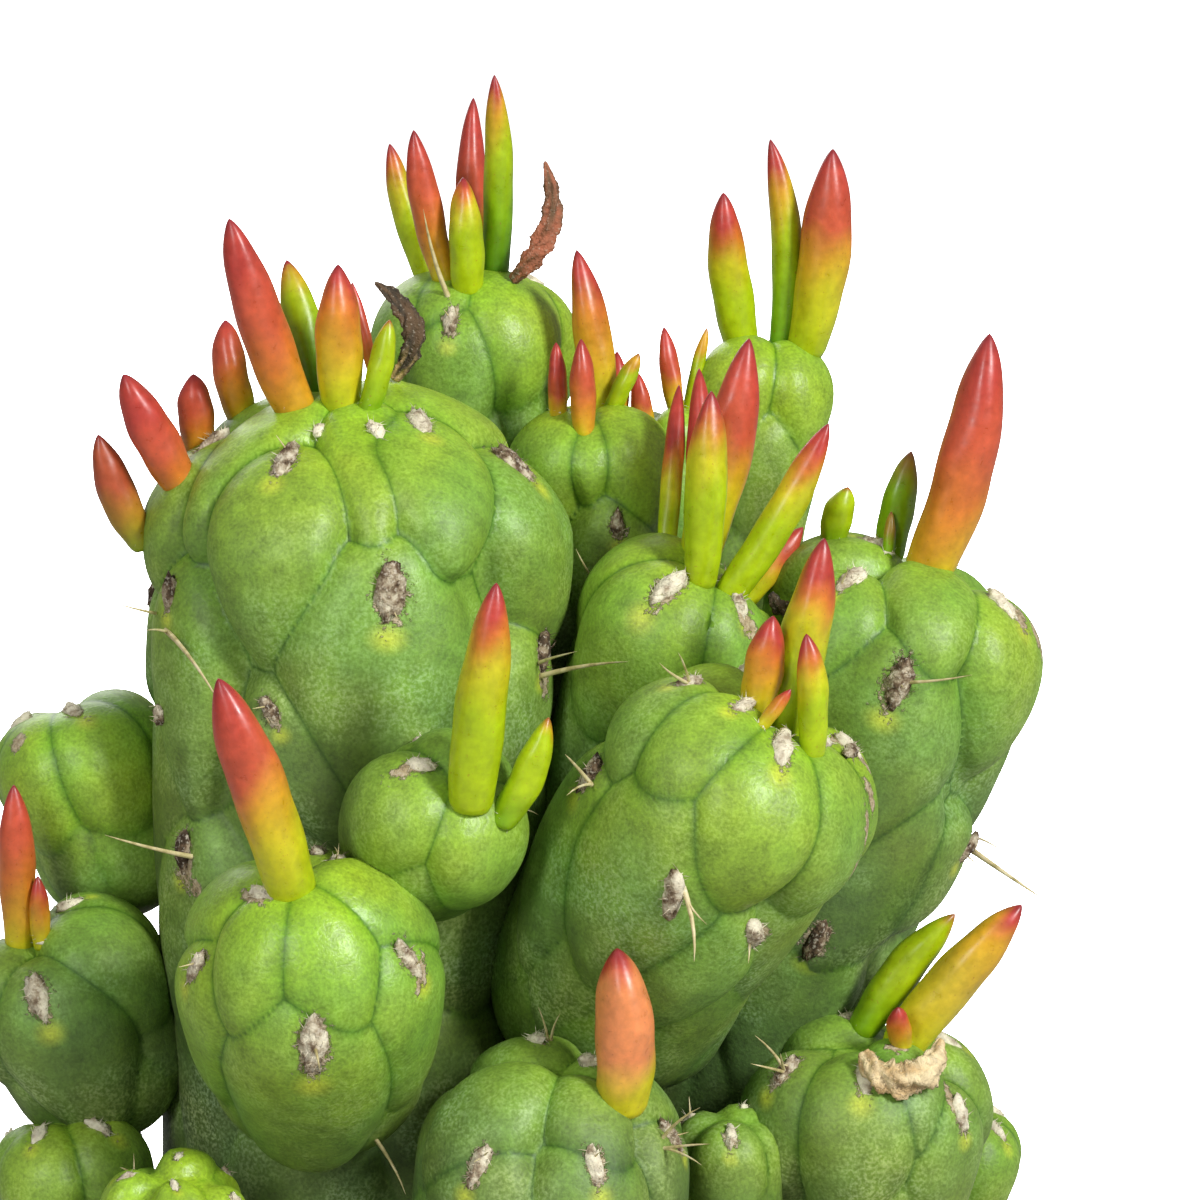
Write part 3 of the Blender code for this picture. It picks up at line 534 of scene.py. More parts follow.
SCARS = {
    "front_right_stem": [
        (134, 6, 1.2, 1.6, 0), (113, 8, 1.0, 2.2, 20), (108, 11, 1.1, 2.4, 0), (90, 13, 0.8, 2.2, -10),
        (74, 15, 0.7, 2.6, -10), (67, 19, 0.6, 2.0, 0), (38, 28, 1.6, 1.1, 0)],
    "right_stem": [(58, 11, 1.4, 1.6, -30), (64, 13, 1.1, 2.0, -30), (72, 15, 0.9, 2.0, 0),
                   (78, 42, 1.3, 2.2, 20)],
    "right_foot_stem": [(16, 6, 1.4, 1.0, 0), (46, 12, 0.7, 1.8, -30), (-100, 20, 1.2, 2.0, 0)],
    "left_stem": [(48, 2, 1.6, 1.2, 0), (-42, 7, 1.2, 1.2, 0)],
    "main_stem": [
        (80, 21, 1.0, 2.2, -20), (66, 45, 1.3, 2.6, 10), (-51, 68.5, 1.7, 3.2, 8), (-45, 71, 1.0, 1.3, 0),
        (-140, 24, 1.4, 2.6, 0), (-170, 60, 2.0, 3.0, 20), (150, 44, 1.6, 2.4, 0)],
    "centre_stem": [(42, 9, 1.0, 1.8, 20)],
    "small_front_stem": [(-110, 5, 1.1, 2.4, 60)],
    "front_left_stem": [(66, 16, 0.8, 2.2, -60), (-76, 5, 0.8, 2.4, -50)],
    "back_left_stem": [(160, 30, 1.8, 2.6, 20), (-150, 62, 2.4, 2.0, 0)],
    "back_right_stem": [(-170, 24, 1.6, 2.6, 0), (140, 50, 2.0, 2.4, 30)],
}
for name, *row in by_stem(SCARS):
    STEMS[name].scars.append(Scale(STEMS[name], *row))
print("scars:", len(by_stem(SCARS)))

# %% [markdown]
# ## From the rules to a mesh
#
# A grid of turns and drops, closed by one point at each end, turns the rules into a mesh. A
# multiresolution sculpt would work too, but it can't be repeated or changed by a number. What
# the finish needs to know, such as where the creases are, goes along as named attributes.

# %% Grid to mesh
def grid_faces(count, sectors, first=0):
    """Quads between rings that run round from the left hand to the right, and a fan at each end."""
    index = first + np.arange(count * sectors).reshape(count, sectors)
    after = np.roll(index, -1, axis=1)
    faces = np.stack([index[:-1], index[1:], after[1:], after[:-1]], axis=-1).reshape(-1, 4).tolist()
    top = first + count * sectors
    faces += [(top, one, other) for one, other in zip(index[0].tolist(), after[0].tolist())]
    faces += [(top + 1, one, other) for one, other in zip(after[-1].tolist(), index[-1].tolist())]
    return faces


def grid_mesh(name, rings, top, bottom, marks):
    """A closed mesh from rings of points, its two end points, and marks given at the rings."""
    count, sectors, _ = rings.shape
    points = np.concatenate([rings.reshape(-1, 3), [top, bottom]]) * MM
    mesh = bpy.data.meshes.new(name)
    mesh.from_pydata(points.tolist(), [], grid_faces(count, sectors))
    for mark, values in marks.items():
        values = values.reshape(count * sectors, -1)
        ends = np.stack([values[:sectors].mean(0), values[-sectors:].mean(0)])
        values = np.concatenate([values, ends])
        kind, field = ("FLOAT", "value") if values.shape[1] == 1 else ("FLOAT_COLOR", "color")
        mesh.attributes.new(mark, kind, "POINT").data.foreach_set(field, values.ravel())
    mesh.shade_smooth()
    return mesh


def add_piece(name, mesh, slot, *stands_for):
    """A finished piece that rides on the plant's one body; the slot argument is not used."""
    piece = bpy.data.objects.new(name, mesh)
    bpy.context.scene.collection.objects.link(piece)
    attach(piece, "root")
    if stands_for:
        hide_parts(*stands_for)
    return piece


def triangles(mesh):
    return sum(len(face.vertices) - 2 for face in mesh.polygons)


print("a grid of 3 rings of 8 points has", len(grid_faces(3, 8)), "faces")

# %% [markdown]
# ## Building the stems
#
# The grid's points stand close together on the front and the top of a stem, where its scales
# are seen best, and further apart at its back and foot. A crease is thinner than the grid, so
# the points nearest to one are moved onto it along the slope of the gap between the two highest
# rules. Without that step a crease would come out as a saw.

# %% Points where they are needed
FINE = 1.15  # the grid's step, over the step that a stem asks for
BACK_SHARE = 0.42  # the back of a stem gets this share of the front's points
LOW_SHARE = 0.45  # and so does the part that other stems hide
SIDE_FROM, SIDE_OVER = -0.35, 0.5  # the back ends at this cosine of the turn, over this much of it
SEEN_FADE = 8  # millimetres over which the hidden part begins
DENSITY_STEPS = 721  # places at which the density is measured
DENSER = 1.1  # how much closer the points are round a stem than down it
NEAR_CREASE = 0.55  # a point this close to a crease, in steps of the grid, is moved onto it
SLOPE_STEP = 0.2  # the step for measuring the gap's slope, in steps of the grid
CREASES_FROM = 4  # the drop below which creases are sharpened


def even_places(start, end, density):
    """Places from start to end, as close together as the density says."""
    place = np.linspace(start, end, DENSITY_STEPS)
    dense = density(place)
    reach = np.concatenate([[0], np.cumsum((dense[1:] + dense[:-1]) / 2 * np.diff(place))])
    return np.interp(np.linspace(0, reach[-1], int(reach[-1]) + 1), reach, place)


def drawn_to_creases(stem, turn, drop):
    """Moves the grid's points nearest to a crease onto it, so that creases come out thin."""
    wide, tall = np.gradient(turn, axis=1), np.gradient(drop, axis=0)
    here = stem.heights(turn, drop)
    pair = np.argpartition(-here, 1, axis=0)[:2]

    def gap(heights):
        one, other = np.take_along_axis(heights, pair, axis=0)
        return one - other

    level = gap(here)
    aside = (gap(stem.heights(turn + SLOPE_STEP * wide, drop)) - level) / SLOPE_STEP
    below = (gap(stem.heights(turn, drop + SLOPE_STEP * tall)) - level) / SLOPE_STEP
    steep = aside**2 + below**2 + 1e-9
    near = (level**2 / steep < NEAR_CREASE**2) & (drop > CREASES_FROM)
    return (turn - np.where(near, level * aside / steep, 0) * wide,
            drop - np.where(near, level * below / steep, 0) * tall)


print("creases are sharpened from a drop of", CREASES_FROM, "mm")

# %% Build the stems
def stem_mesh(name, stem):
    step = stem.grain * FINE
    turns = even_places(-math.pi, math.pi, lambda turn: stem.radius * DENSER / step * (
        BACK_SHARE + (1 - BACK_SHARE) * smooth_step((np.cos(turn) - SIDE_FROM) / SIDE_OVER)))
    drops = even_places(0, stem.skin_length, lambda drop: (
        LOW_SHARE + (1 - LOW_SHARE) * smooth_step((stem.seen + SEEN_FADE - drop) / SEEN_FADE)) / step)
    turn, drop = drawn_to_creases(stem, *np.meshgrid(turns[:-1], drops[1:-1]))
    rings, marks = relief(stem, turn, drop)
    bottom = relief(stem, np.array([0.0]), drops[-1:])[0][0]
    return grid_mesh(name, rings, rings[0].mean(0), bottom, marks)


stem_pieces = {}
for name, stem in STEMS.items():
    stem_pieces[name] = add_piece(name + "_skin", stem_mesh(name + "_skin", stem), "skin", name)
print("stem triangles:", sum(triangles(piece.data) for piece in stem_pieces.values()),
      "largest", max(triangles(piece.data) for piece in stem_pieces.values()))

# %% [markdown]
# ## Making materials with nodes
#
# Every finish below is procedural: noise, ramps and the marks stored on the meshes. A few small
# helpers keep the node trees readable. Patterns read Object coordinates, which are metres here,
# so a noise scale of 1000 has features of about a millimetre.

# %% Node helpers for numbers
def new_finish(name):
    finish = bpy.data.materials.new(name)
    finish.use_nodes = True
    return finish, finish.node_tree, finish.node_tree.nodes["Principled BSDF"]


def put(tree, kind, inputs, **settings):
    """Adds a node, sets its settings, and fills its inputs with values or other nodes' outputs."""
    made = tree.nodes.new(kind)
    for setting, value in settings.items():
        setattr(made, setting, value)
    for key, value in inputs.items():
        if isinstance(value, bpy.types.NodeSocket):
            tree.links.new(value, made.inputs[key])
        else:
            made.inputs[key].default_value = value
    return made


def coords(tree):
    return put(tree, "ShaderNodeTexCoord", {}).outputs["Object"]


def noise(tree, scale, detail=3.0, roughness=0.55, where=None):
    return put(tree, "ShaderNodeTexNoise", {
        "Vector": where or coords(tree), "Scale": scale, "Detail": detail,
        "Roughness": roughness}).outputs["Fac"]


def mark(tree, name, output="Fac"):
    return put(tree, "ShaderNodeAttribute", {}, attribute_name=name).outputs[output]


def maths(tree, operation, one, other=0.0):
    return put(tree, "ShaderNodeMath", {0: one, 1: other}, operation=operation).outputs[0]


def spread(tree, value, low, high, to_low=0.0, to_high=1.0):
    """Maps low..high to to_low..to_high, clamped."""
    return put(tree, "ShaderNodeMapRange", {
        "Value": value, "From Min": low, "From Max": high, "To Min": to_low,
        "To Max": to_high}).outputs["Result"]


print("helpers for numbers ready")

# %% Node helpers for colour, flesh and bumps
def blend(tree, factor, one, other, how="MIX"):
    colours = {6: one if isinstance(one, bpy.types.NodeSocket) else (*one, 1.0),
               7: other if isinstance(other, bpy.types.NodeSocket) else (*other, 1.0)}
    return put(tree, "ShaderNodeMix", {0: factor, **colours}, data_type="RGBA",
               blend_type=how).outputs[2]


def ramp(tree, value, stops):
    made = put(tree, "ShaderNodeValToRGB", {"Fac": value})
    ends = made.color_ramp.elements
    while len(ends) < len(stops):
        ends.new(0.5)
    for end, (place, colour) in zip(ends, stops):
        end.position = place
        end.color = (*colour, 1.0)
    return made.outputs["Color"]


def grey(tree, value):
    """A grey as bright as the value, which may be above 1."""
    return put(tree, "ShaderNodeCombineColor", {0: value, 1: value, 2: value}).outputs[0]


def tinted(tree, colour, tint):
    return blend(tree, 1.0, colour, tint, "MULTIPLY")


def let_light_in(shader, weight, radius, depth):
    """Light goes into the flesh: how much, how far for each colour, and its depth in millimetres."""
    shader.inputs["Subsurface Weight"].default_value = weight
    shader.inputs["Subsurface Radius"].default_value = radius
    shader.inputs["Subsurface Scale"].default_value = depth * MM


def rough_up(tree, shader, heights):
    """Stacks bumps, each given by its height and its depth in millimetres."""
    normal = None
    for height, depth in heights:
        inputs = {"Height": height, "Strength": 1.0, "Distance": depth * MM}
        if normal:
            inputs["Normal"] = normal
        normal = put(tree, "ShaderNodeBump", inputs).outputs["Normal"]
    tree.links.new(normal, shader.inputs["Normal"])


print("helpers for colour ready")

# %% [markdown]
# ## Cactus skin
#
# Young skin is glossy yellow-green. As it ages it turns a duller, greyer green, with a pale
# bloom that looks like dust. The creases and the edges of the scales are painted a deeper
# green for the shade that falls there, and under each pad sits a yellow halo where its old leaf
# was. One could paint these over the mesh, but the marks stored on it already say where each
# belongs, so the finish follows any change of shape by itself.

# %% Skin colours, old and young, and in its patches
SKIN_OLD, SKIN_DULL = (0.100, 0.162, 0.034), (0.168, 0.278, 0.042)
SKIN_GREEN, SKIN_YOUNG = (0.228, 0.384, 0.036), (0.330, 0.500, 0.026)
SKIN_HALO, SKIN_BLOOM, SKIN_CORK = (0.56, 0.62, 0.05), (0.40, 0.50, 0.24), (0.42, 0.33, 0.19)
COOL_PATCH, WARM_PATCH = (0.86, 0.98, 1.12), (1.06, 1.0, 0.88)  # what each keeps of the colour
EDGE_SHADE_TINT, CREASE_SHADE_TINT = (0.74, 0.87, 0.60), (0.16, 0.32, 0.10)  # and so with the painted shade at a scale's edge and in a crease

skin, tree, shader = new_finish("cactus_skin")
broad, medium, fine = noise(tree, 95), noise(tree, 420), noise(tree, 2300, 2.0)
youth_and_light = maths(tree, "ADD", mark(tree, "young"), spread(tree, broad, 0.3, 0.7, -0.12, 0.12))
youth_and_light = maths(tree, "ADD", youth_and_light, spread(tree, mark(tree, "tone"), 0, 1, -0.06, 0.07))
youth_and_light = maths(tree, "ADD", youth_and_light, spread(tree, mark(tree, "along"), 0, 1, 0.12, -0.12))
colour = ramp(tree, youth_and_light, [
    (0.05, SKIN_OLD), (0.3, SKIN_DULL), (0.6, SKIN_GREEN), (1.0, SKIN_YOUNG)])
bloom = maths(tree, "MULTIPLY", spread(tree, broad, 0.45, 0.7), spread(tree, youth_and_light, 0.9, 0.1, 0.0, 0.85))
bloom = maths(tree, "MULTIPLY", bloom, spread(tree, fine, 0.42, 0.64))
colour = blend(tree, bloom, colour, SKIN_BLOOM)
warm = spread(tree, noise(tree, 60, 2.0), 0.36, 0.64)
colour = tinted(tree, colour, blend(tree, warm, COOL_PATCH, WARM_PATCH))
colour = blend(tree, spread(tree, mark(tree, "halo"), 0.1, 1.0, 0.0, 0.75), colour, SKIN_HALO)
mottle = maths(tree, "ADD", spread(tree, medium, 0.3, 0.7, 0.80, 1.16),
               spread(tree, fine, 0.3, 0.7, -0.20, 0.20))
colour = tinted(tree, colour, grey(tree, mottle))
# painted shade: a deeper green near each scale's edge, and a dark line down each crease
edge = maths(tree, "MULTIPLY", mark(tree, "edge"), spread(tree, medium, 0.3, 0.7, 0.7, 1.0))
colour = blend(tree, edge, colour, EDGE_SHADE_TINT, "MULTIPLY")
thin = maths(tree, "POWER", mark(tree, "crease"), 1.9)
colour = blend(tree, maths(tree, "MULTIPLY", thin, 0.68), colour, CREASE_SHADE_TINT, "MULTIPLY")
print("skin nodes for colour:", len(tree.nodes))

# %% Cork, gloss and grain of the skin
bark = noise(tree, 1100, 4.0, 0.7)
dry = maths(tree, "MAXIMUM", mark(tree, "cork"), maths(tree, "MULTIPLY", mark(tree, "pit"), 0.85))
corky = maths(tree, "ADD", dry, spread(tree, bark, 0.3, 0.7, -0.35, 0.35))
corky = spread(tree, corky, 0.42, 0.60)
bark_colour = ramp(tree, bark, [
    (0.3, (0.10, 0.060, 0.030)), (0.5, SKIN_CORK), (0.7, (0.56, 0.49, 0.34))])
tree.links.new(blend(tree, corky, colour, bark_colour), shader.inputs["Base Color"])
sheen = maths(tree, "ADD", youth_and_light, spread(tree, medium, 0.3, 0.7, -0.2, 0.2))
rough = maths(tree, "ADD", spread(tree, sheen, 0.0, 1.0, 0.62, 0.37),
              maths(tree, "MULTIPLY", corky, 0.4))
tree.links.new(rough, shader.inputs["Roughness"])
let_light_in(shader, 0.12, (0.8, 1.0, 0.3), 2.0)
rough_up(tree, shader, [(medium, 0.12), (fine, 0.06), (maths(tree, "MULTIPLY", corky, bark), 0.5)])
for piece in stem_pieces.values():
    piece.data.materials.append(skin)
print("skin nodes in all:", len(tree.nodes))

# %% [markdown]
# ## Leaves
#
# The leaves are short-lived, fleshy fingers. They are round in section, widest near the middle,
# and drawn out to a dark point. Each could be a curve with a taper, but the same grid as for
# the stems gives control of both the foot, which is set into its pad, and the point. Colour is
# stored on the mesh, because it follows the leaf from foot to point.

# %% Leaf colours from foot to point
LIME, GRASS, DEEP_GREEN = (0.42, 0.56, 0.004), (0.22, 0.42, 0.004), (0.070, 0.25, 0.008)
YELLOW, AMBER, ORANGE = (0.60, 0.54, 0.012), (0.66, 0.36, 0.016), (0.62, 0.18, 0.022)
CORAL, RED, WINE = (0.60, 0.105, 0.040), (0.50, 0.052, 0.036), (0.21, 0.018, 0.034)
SALMON, DEEP_AMBER = (0.76, 0.26, 0.090), (0.62, 0.44, 0.030)
FLUSHES = {
    "crimson": [(0, YELLOW), (0.14, AMBER), (0.38, ORANGE), (0.58, CORAL), (0.9, RED)],
    "ember": [(0, LIME), (0.25, YELLOW), (0.5, AMBER), (0.75, ORANGE), (0.92, RED)],
    "lemon": [(0, LIME), (0.5, LIME), (0.7, YELLOW), (0.84, ORANGE), (0.94, RED)],
    "honey": [(0, LIME), (0.2, YELLOW), (0.55, DEEP_AMBER), (0.8, AMBER), (0.96, RED)],
    "salmon": [(0, YELLOW), (0.2, YELLOW), (0.42, SALMON), (0.85, SALMON), (0.96, RED)],
    "coral": [(0, LIME), (0.3, YELLOW), (0.46, AMBER), (0.62, CORAL), (0.92, RED)],
    "grass": [(0, DEEP_GREEN), (0.35, GRASS), (0.65, LIME), (0.85, AMBER), (0.95, RED)],
    "apple": [(0, GRASS), (0.4, LIME), (0.8, LIME), (0.93, AMBER)],
    "russet": [(0, (0.30, 0.38, 0.01)), (0.3, (0.42, 0.23, 0.015)), (0.6, (0.42, 0.08, 0.028))],
    "olive": [(0, GRASS), (0.6, GRASS), (0.85, (0.30, 0.20, 0.02))],
}
LEAF_SLOTS = {"leaf_red": ("crimson", "russet", "coral", "salmon"),
              "leaf_amber": ("ember", "lemon", "honey"),
              "leaf_green": ("grass", "apple", "olive")}
SLOT_OF_FLUSH = {flush: slot for slot, flushes in LEAF_SLOTS.items() for flush in flushes}
print("leaf colourings:", len(FLUSHES))

# %% The leaves: foot, tip, greatest radius, bow, colouring, and how far that is shifted up
Leaf = namedtuple("Leaf", "stem foot tip radius bow flush shift")


def leaf_rows(table):
    """Leaves by name, from a table that lists them under their stem."""
    return {name: Leaf(stem, *row) for stem, name, *row in by_stem(table)}


LEAVES = leaf_rows({
    "main_stem": [
        ("leaf_main_tall", (-28, -4, 229), (-35, -8, 254), 3.0, (-1, 0, 0), "crimson", 0.05),
        ("leaf_main_mid", (-22, -4, 230), (-22, -5, 248), 2.8, (0, -1, 0), "ember", 0.0),
        ("leaf_main_green", (-25, 4, 231), (-29, 6, 247), 2.3, (0.5, 0, 0), "grass", -0.05),
        ("leaf_main_back", (-35, 8, 226), (-37, 9, 239), 2.3, (-1, 0, 0), "crimson", -0.1),
        ("leaf_main_left", (-43, -6, 222), (-48.2, -8, 234.9), 2.7, (-0.5, 0, 0), "crimson", 0.2),
        ("leaf_main_low_left", (-46, -3, 214), (-51.8, -5, 226.9), 2.3, (-1, 0, -1), "russet", 0.0),
        ("leaf_main_left_back", (-40, 2, 222), (-40.5, 2, 233.3), 2.3, (0, 0, 0), "crimson", 0.0),
    ],
    "top_back_stem": [
        ("leaf_top_tall", (-4, 34, 241), (-3.6, 31, 267.5), 2.0, (1, 0, 0), "grass", -0.02),
        ("leaf_top_mid", (-7, 40, 241), (-6.6, 42, 263.4), 2.0, (-1, 0, 0), "coral", 0.1),
        ("leaf_top_left", (-10, 31, 240), (-14, 30, 260.5), 2.0, (-1, 0, 0), "crimson", 0.0),
        ("leaf_top_far_left", (-12, 38, 239), (-17.5, 39, 257.7), 1.8, (-1, 0, 0), "lemon", 0.0),
        ("leaf_top_short", (-7, 29, 240), (-7.6, 28, 254.6), 2.3, (0, -0.5, 0), "lemon", -0.08),
    ],
    "centre_back_stem": [
        ("leaf_centre_back_tall", (10, 24, 225), (7, 24, 245.8), 2.4, (1, 0, 0), "ember", 0.05),
    ],
    "right_back_stem": [
        ("leaf_right_back_tall", (37, 36, 231), (40.2, 34, 257.6), 3.3, (1.5, 0, 0), "coral", 0.0),
        ("leaf_right_back_mid", (33, 38, 232), (32.2, 38, 258.4), 2.1, (3, 0, 0), "grass", 0.06),
        ("leaf_right_back_left", (29, 36, 231), (26, 34, 251.9), 2.7, (-1, 0, 0), "lemon", 0.08),
    ],
    "centre_stem": [
        ("leaf_centre_tall", (24, -3, 213), (28.4, -2, 238.4), 3.1, (1, 0, 0), "coral", 0.02),
        ("leaf_centre_front", (23, -9, 211), (23.6, -9, 233), 2.6, (0, -1, 0), "lemon", 0.04),
        ("leaf_centre_slanted", (27, -8, 210), (38, -8, 228.8), 2.35, (1, 0, -1), "lemon", 0.02),
    ],
})
print("leaves so far:", len(LEAVES))

# %% The leaves of the other stems
LEAVES.update(leaf_rows({
    "front_right_stem": [
        ("leaf_fist_tall", (33, -29, 198), (36.6, -29, 218.7), 3.0, (1, 0, 0), "lemon", 0.08),
        ("leaf_fist_left", (28, -31, 198), (30.5, -32, 209.9), 2.3, (0, 0, 0), "ember", 0.12),
        ("leaf_fist_low", (35, -34, 195), (34.3, -35, 208.4), 1.9, (1, 0, 0), "lemon", 0.05),
    ],
    "right_stem": [
        ("leaf_right_tall", (51, -2, 210), (58, -2, 239), 3.7, (2.5, 0, -1), "crimson", 0.0),
        ("leaf_right_green", (47, 4, 211), (49, 5, 223), 2.1, (-0.5, 0, 0), "olive", -0.05),
        ("leaf_right_left", (39, 3, 211), (41, 2, 219), 1.9, (-0.5, 0, 0), "apple", -0.1),
    ],
    "front_left_stem": [
        ("leaf_front_left", (-26, -43, 180), (-34, -48, 206), 3.5, (0.5, -1, 0), "coral", 0.0),
    ],
    "small_front_stem": [
        ("leaf_small_front", (-5, -39, 190), (-2, -42, 216), 3.1, (0, -1, 0), "lemon", 0.0),
        ("leaf_small_low", (-1, -37, 187), (4, -38, 199), 2.0, (1, 0, -1), "apple", -0.05),
    ],
    "left_lower_stem": [
        ("leaf_left_lower", (-62, -10, 166), (-62.5, -11, 184), 2.3, (0, 0, 0), "crimson", -0.05),
    ],
    "front_foot_stem": [
        ("leaf_front_foot", (12, -40, 152), (12, -42, 172), 3.7, (1.5, -1, 0), "salmon", 0.0),
    ],
    "right_foot_stem": [
        ("leaf_right_foot", (48, -15, 152), (62, -16, 170), 3.1, (0, 0, 1), "honey", 0.0),
        ("leaf_right_foot_back", (44, -12, 156), (54, -13, 168), 2.4, (-1, 0, 1), "apple", -0.05),
    ],
    "back_left_stem": [
        ("leaf_back_left_tall", (-35, 51, 194), (-41, 58, 216), 3.0, (0, 1, 0), "coral", 0.0),
        ("leaf_back_left_short", (-30, 54, 192), (-27, 61, 206), 2.5, (0, 1, 0), "ember", 0.0),
    ],
    "back_right_stem": [
        ("leaf_back_right", (28, 54, 180), (32, 62, 201), 3.0, (0, 1, 0), "crimson", 0.0),
    ],
}))
print("leaves with a solid:", len(LEAVES))

# %% Small leaves and buds that have no solid of their own
BUDS = leaf_rows({
    "main_stem": [
        ("bud_main_back", (-19.7, 8, 236.2), (-21, 8, 244), 0.8, (0, 0, 0), "crimson", 0.1),
        ("bud_main_right", (-18.1, -6, 230.9), (-15.7, -6, 241.3), 1.6, (0.5, 0, 0), "apple", -0.1),
    ],
    "centre_back_stem": [
        ("bud_centre_back_left", (4.9, 17, 225.6), (4.4, 17, 234.9), 1.25, (0, 0, 0), "coral", 0.2),
        ("bud_centre_back_front", (8, 14, 224.5), (7.6, 14, 235.8), 1.6, (0.2, 0, 0), "crimson", 0.0),
        ("bud_centre_back_far", (13.2, 28, 226.2), (12.2, 28, 232), 1.4, (0, 0, 0), "coral", 0.1),
        ("bud_centre_back_green", (11.8, 20, 226.7), (15, 20, 233), 1.3, (0, 0, 0), "apple", 0.1),
        ("bud_centre_back_right", (16.7, 26, 223.2), (14.8, 26, 229.6), 1.4, (0, 0, 0), "coral", 0.0),
    ],
    "gap_stem": [
        ("bud_gap_left", (19.5, 30, 228), (18.3, 30, 234.9), 1.3, (0, 0, 0), "coral", 0.15),
        ("bud_gap_right", (22.8, 34, 228.8), (24, 34, 234.2), 0.9, (0, 0, 0), "apple", 0.2),
    ],
    "centre_stem": [
        ("bud_centre_left", (20.3, 6, 214), (20, 13, 230.1), 1.4, (0, 0, 0), "lemon", 0.25),
        ("bud_centre_far", (23.7, 5, 214), (22.5, 12, 232.4), 2.0, (0, 0, 0), "coral", 0.2),
        ("bud_centre_right", (30.7, 1, 206), (35.5, 4, 213.5), 1.7, (0, 0, 0), "coral", 0.0),
    ],
    "front_right_stem": [
        ("bud_fist_front", (29.8, -36, 198.3), (32.5, -36, 201.9), 0.9, (0, 0, 0), "ember", 0.0),
    ],
    "right_stem": [
        ("bud_right_top", (47.2, 1, 211.6), (46.4, 2, 215.9), 0.8, (0, 0, 0), "olive", 0.2),
    ],
    "left_lower_stem": [
        ("bud_left_lower", (-60.6, -12, 165), (-59.7, -12, 172.6), 1.25, (0, 0, 0), "ember", 0.1),
    ],
    "right_foot_stem": [
        ("bud_right_foot", (47.2, -18.5, 152.0), (46.6, -20.5, 158.2), 1.5, (-0.4, 0, 0), "ember", 0.1),
    ],
    "back_left_stem": [
        ("bud_back_left", (-38, 47, 193), (-44, 49, 204), 1.8, (0, 0, 0), "crimson", 0.1),
    ],
    "back_right_stem": [
        ("bud_back_right", (23, 54, 180), (20, 60, 193), 1.9, (0, 0, 0), "ember", 0.0),
    ],
    "back_foot_stem": [
        ("bud_back_foot", (-4, 64, 141), (-5, 68, 153), 1.9, (0, 0, 0), "honey", 0.0),
    ],
})
print("buds:", len(BUDS))

# %% The spot on the skin that a leaf grows from
COARSE_TURNS, COARSE_DROPS = 91, 110  # the grid in which it is looked for


@cache
def coarse_skin(stem):
    """A coarse grid of turns, drops and points of a stem's skin, worked out once."""
    turn, drop = np.meshgrid(np.linspace(-math.pi, math.pi, COARSE_TURNS),
                             np.linspace(0.5, stem.skin_length - 0.5, COARSE_DROPS))
    return turn, drop, relief(stem, turn, drop)[0]


def spot_nearest(stem, point):
    """The turn, drop and place of the skin's point closest to a given one."""
    turn, drop, skin = coarse_skin(stem)
    away = np.linalg.norm(skin - np.array(point, float), axis=-1)
    at = np.unravel_index(away.argmin(), away.shape)
    return turn[at], drop[at], skin[at]


print("the spot nearest to a test stem's side:", spot_nearest(test_stem, (12, 0, 40))[2].round(1))

# %% Leaf shape
LEAF_SECTORS, LEAF_RINGS = 24, 40
TIP_CROWDING = 1.25  # how much closer the rings stand towards the point
LEAF_WIDEST = 0.52  # the share of a leaf, from its tip, at which it is widest
LEAF_POINT_POWER = 2.3
LEAF_BLUNTNESS = 0.76  # below 1 rounds the shoulders of the point
LEAF_FOOT_TAPER = 0.24
LEAF_FOOT_ROUND = 0.06  # the share over which the foot's end is rounded
LEAF_SUNK = 1.2  # how deep the foot is set into the skin, in millimetres
LEAF_WAVE = 0.045  # how uneven a leaf's outline is, as a share of its radius


def leaf_spine(leaf):
    """Foot, bend and tip of a leaf's middle line, with its foot set on its stem's skin."""
    foot, tip = spot_nearest(STEMS[leaf.stem], leaf.foot)[2], np.array(leaf.tip, float)
    root = foot - unit(tip - foot) * (LEAF_SUNK + leaf.radius / 4)
    return root, (root + tip) / 2 + np.array(leaf.bow, float), tip


def leaf_girth(leaf, turn, share, seed):
    """A leaf's radius at a turn and a share of its length from the tip."""
    to_tip = np.clip(1 - share / LEAF_WIDEST, 0, 1)
    to_foot = np.clip((share - LEAF_WIDEST) / (1 - LEAF_WIDEST), 0, 1)
    taper = (1 - to_tip**LEAF_POINT_POWER) ** LEAF_BLUNTNESS * (1 - LEAF_FOOT_TAPER * to_foot**2)
    taper = taper * np.sqrt(np.clip((1.02 - share) / LEAF_FOOT_ROUND, 0, 1))
    wave = np.sin(2 * turn + 5 * share + seed) + 0.6 * np.sin(3 * turn - 9 * share + 2.1 * seed)
    wave = wave + 0.5 * np.sin(19 * share + turn + seed)
    return leaf.radius * taper * (1 + LEAF_WAVE * wave)


tall_leaf = LEAVES["leaf_main_tall"]
print("half a tall leaf's width at its middle, in mm:", round(float(leaf_girth(tall_leaf, 0, 0.5, 0)), 2))

# %% Leaf colour and mesh
DARK_TIP, DARKEST = 0.085, 0.8  # the share of a leaf that is wine-dark at its tip, and how much


def leaf_colour(leaf, turn, share, seed):
    """A leaf's colour at a turn and a share of its length from the tip."""
    place = (1 - share + leaf.shift + 0.05 * np.cos(turn - seed)
             + 0.03 * np.sin(11 * share + 3 * turn + seed))
    place = np.where(share < 0.03, 1.0, place)
    places, colours = zip(*FLUSHES[leaf.flush])
    colours = np.array(colours)
    colour = np.stack([np.interp(place, places, colours[:, one]) for one in range(3)]
                      + [np.ones(place.shape)], axis=-1)
    dark = DARKEST * np.clip(1 - share / DARK_TIP, 0, 1)[..., None]
    colour[..., :3] = colour[..., :3] * (1 - dark) + np.array(WINE) * dark
    return colour


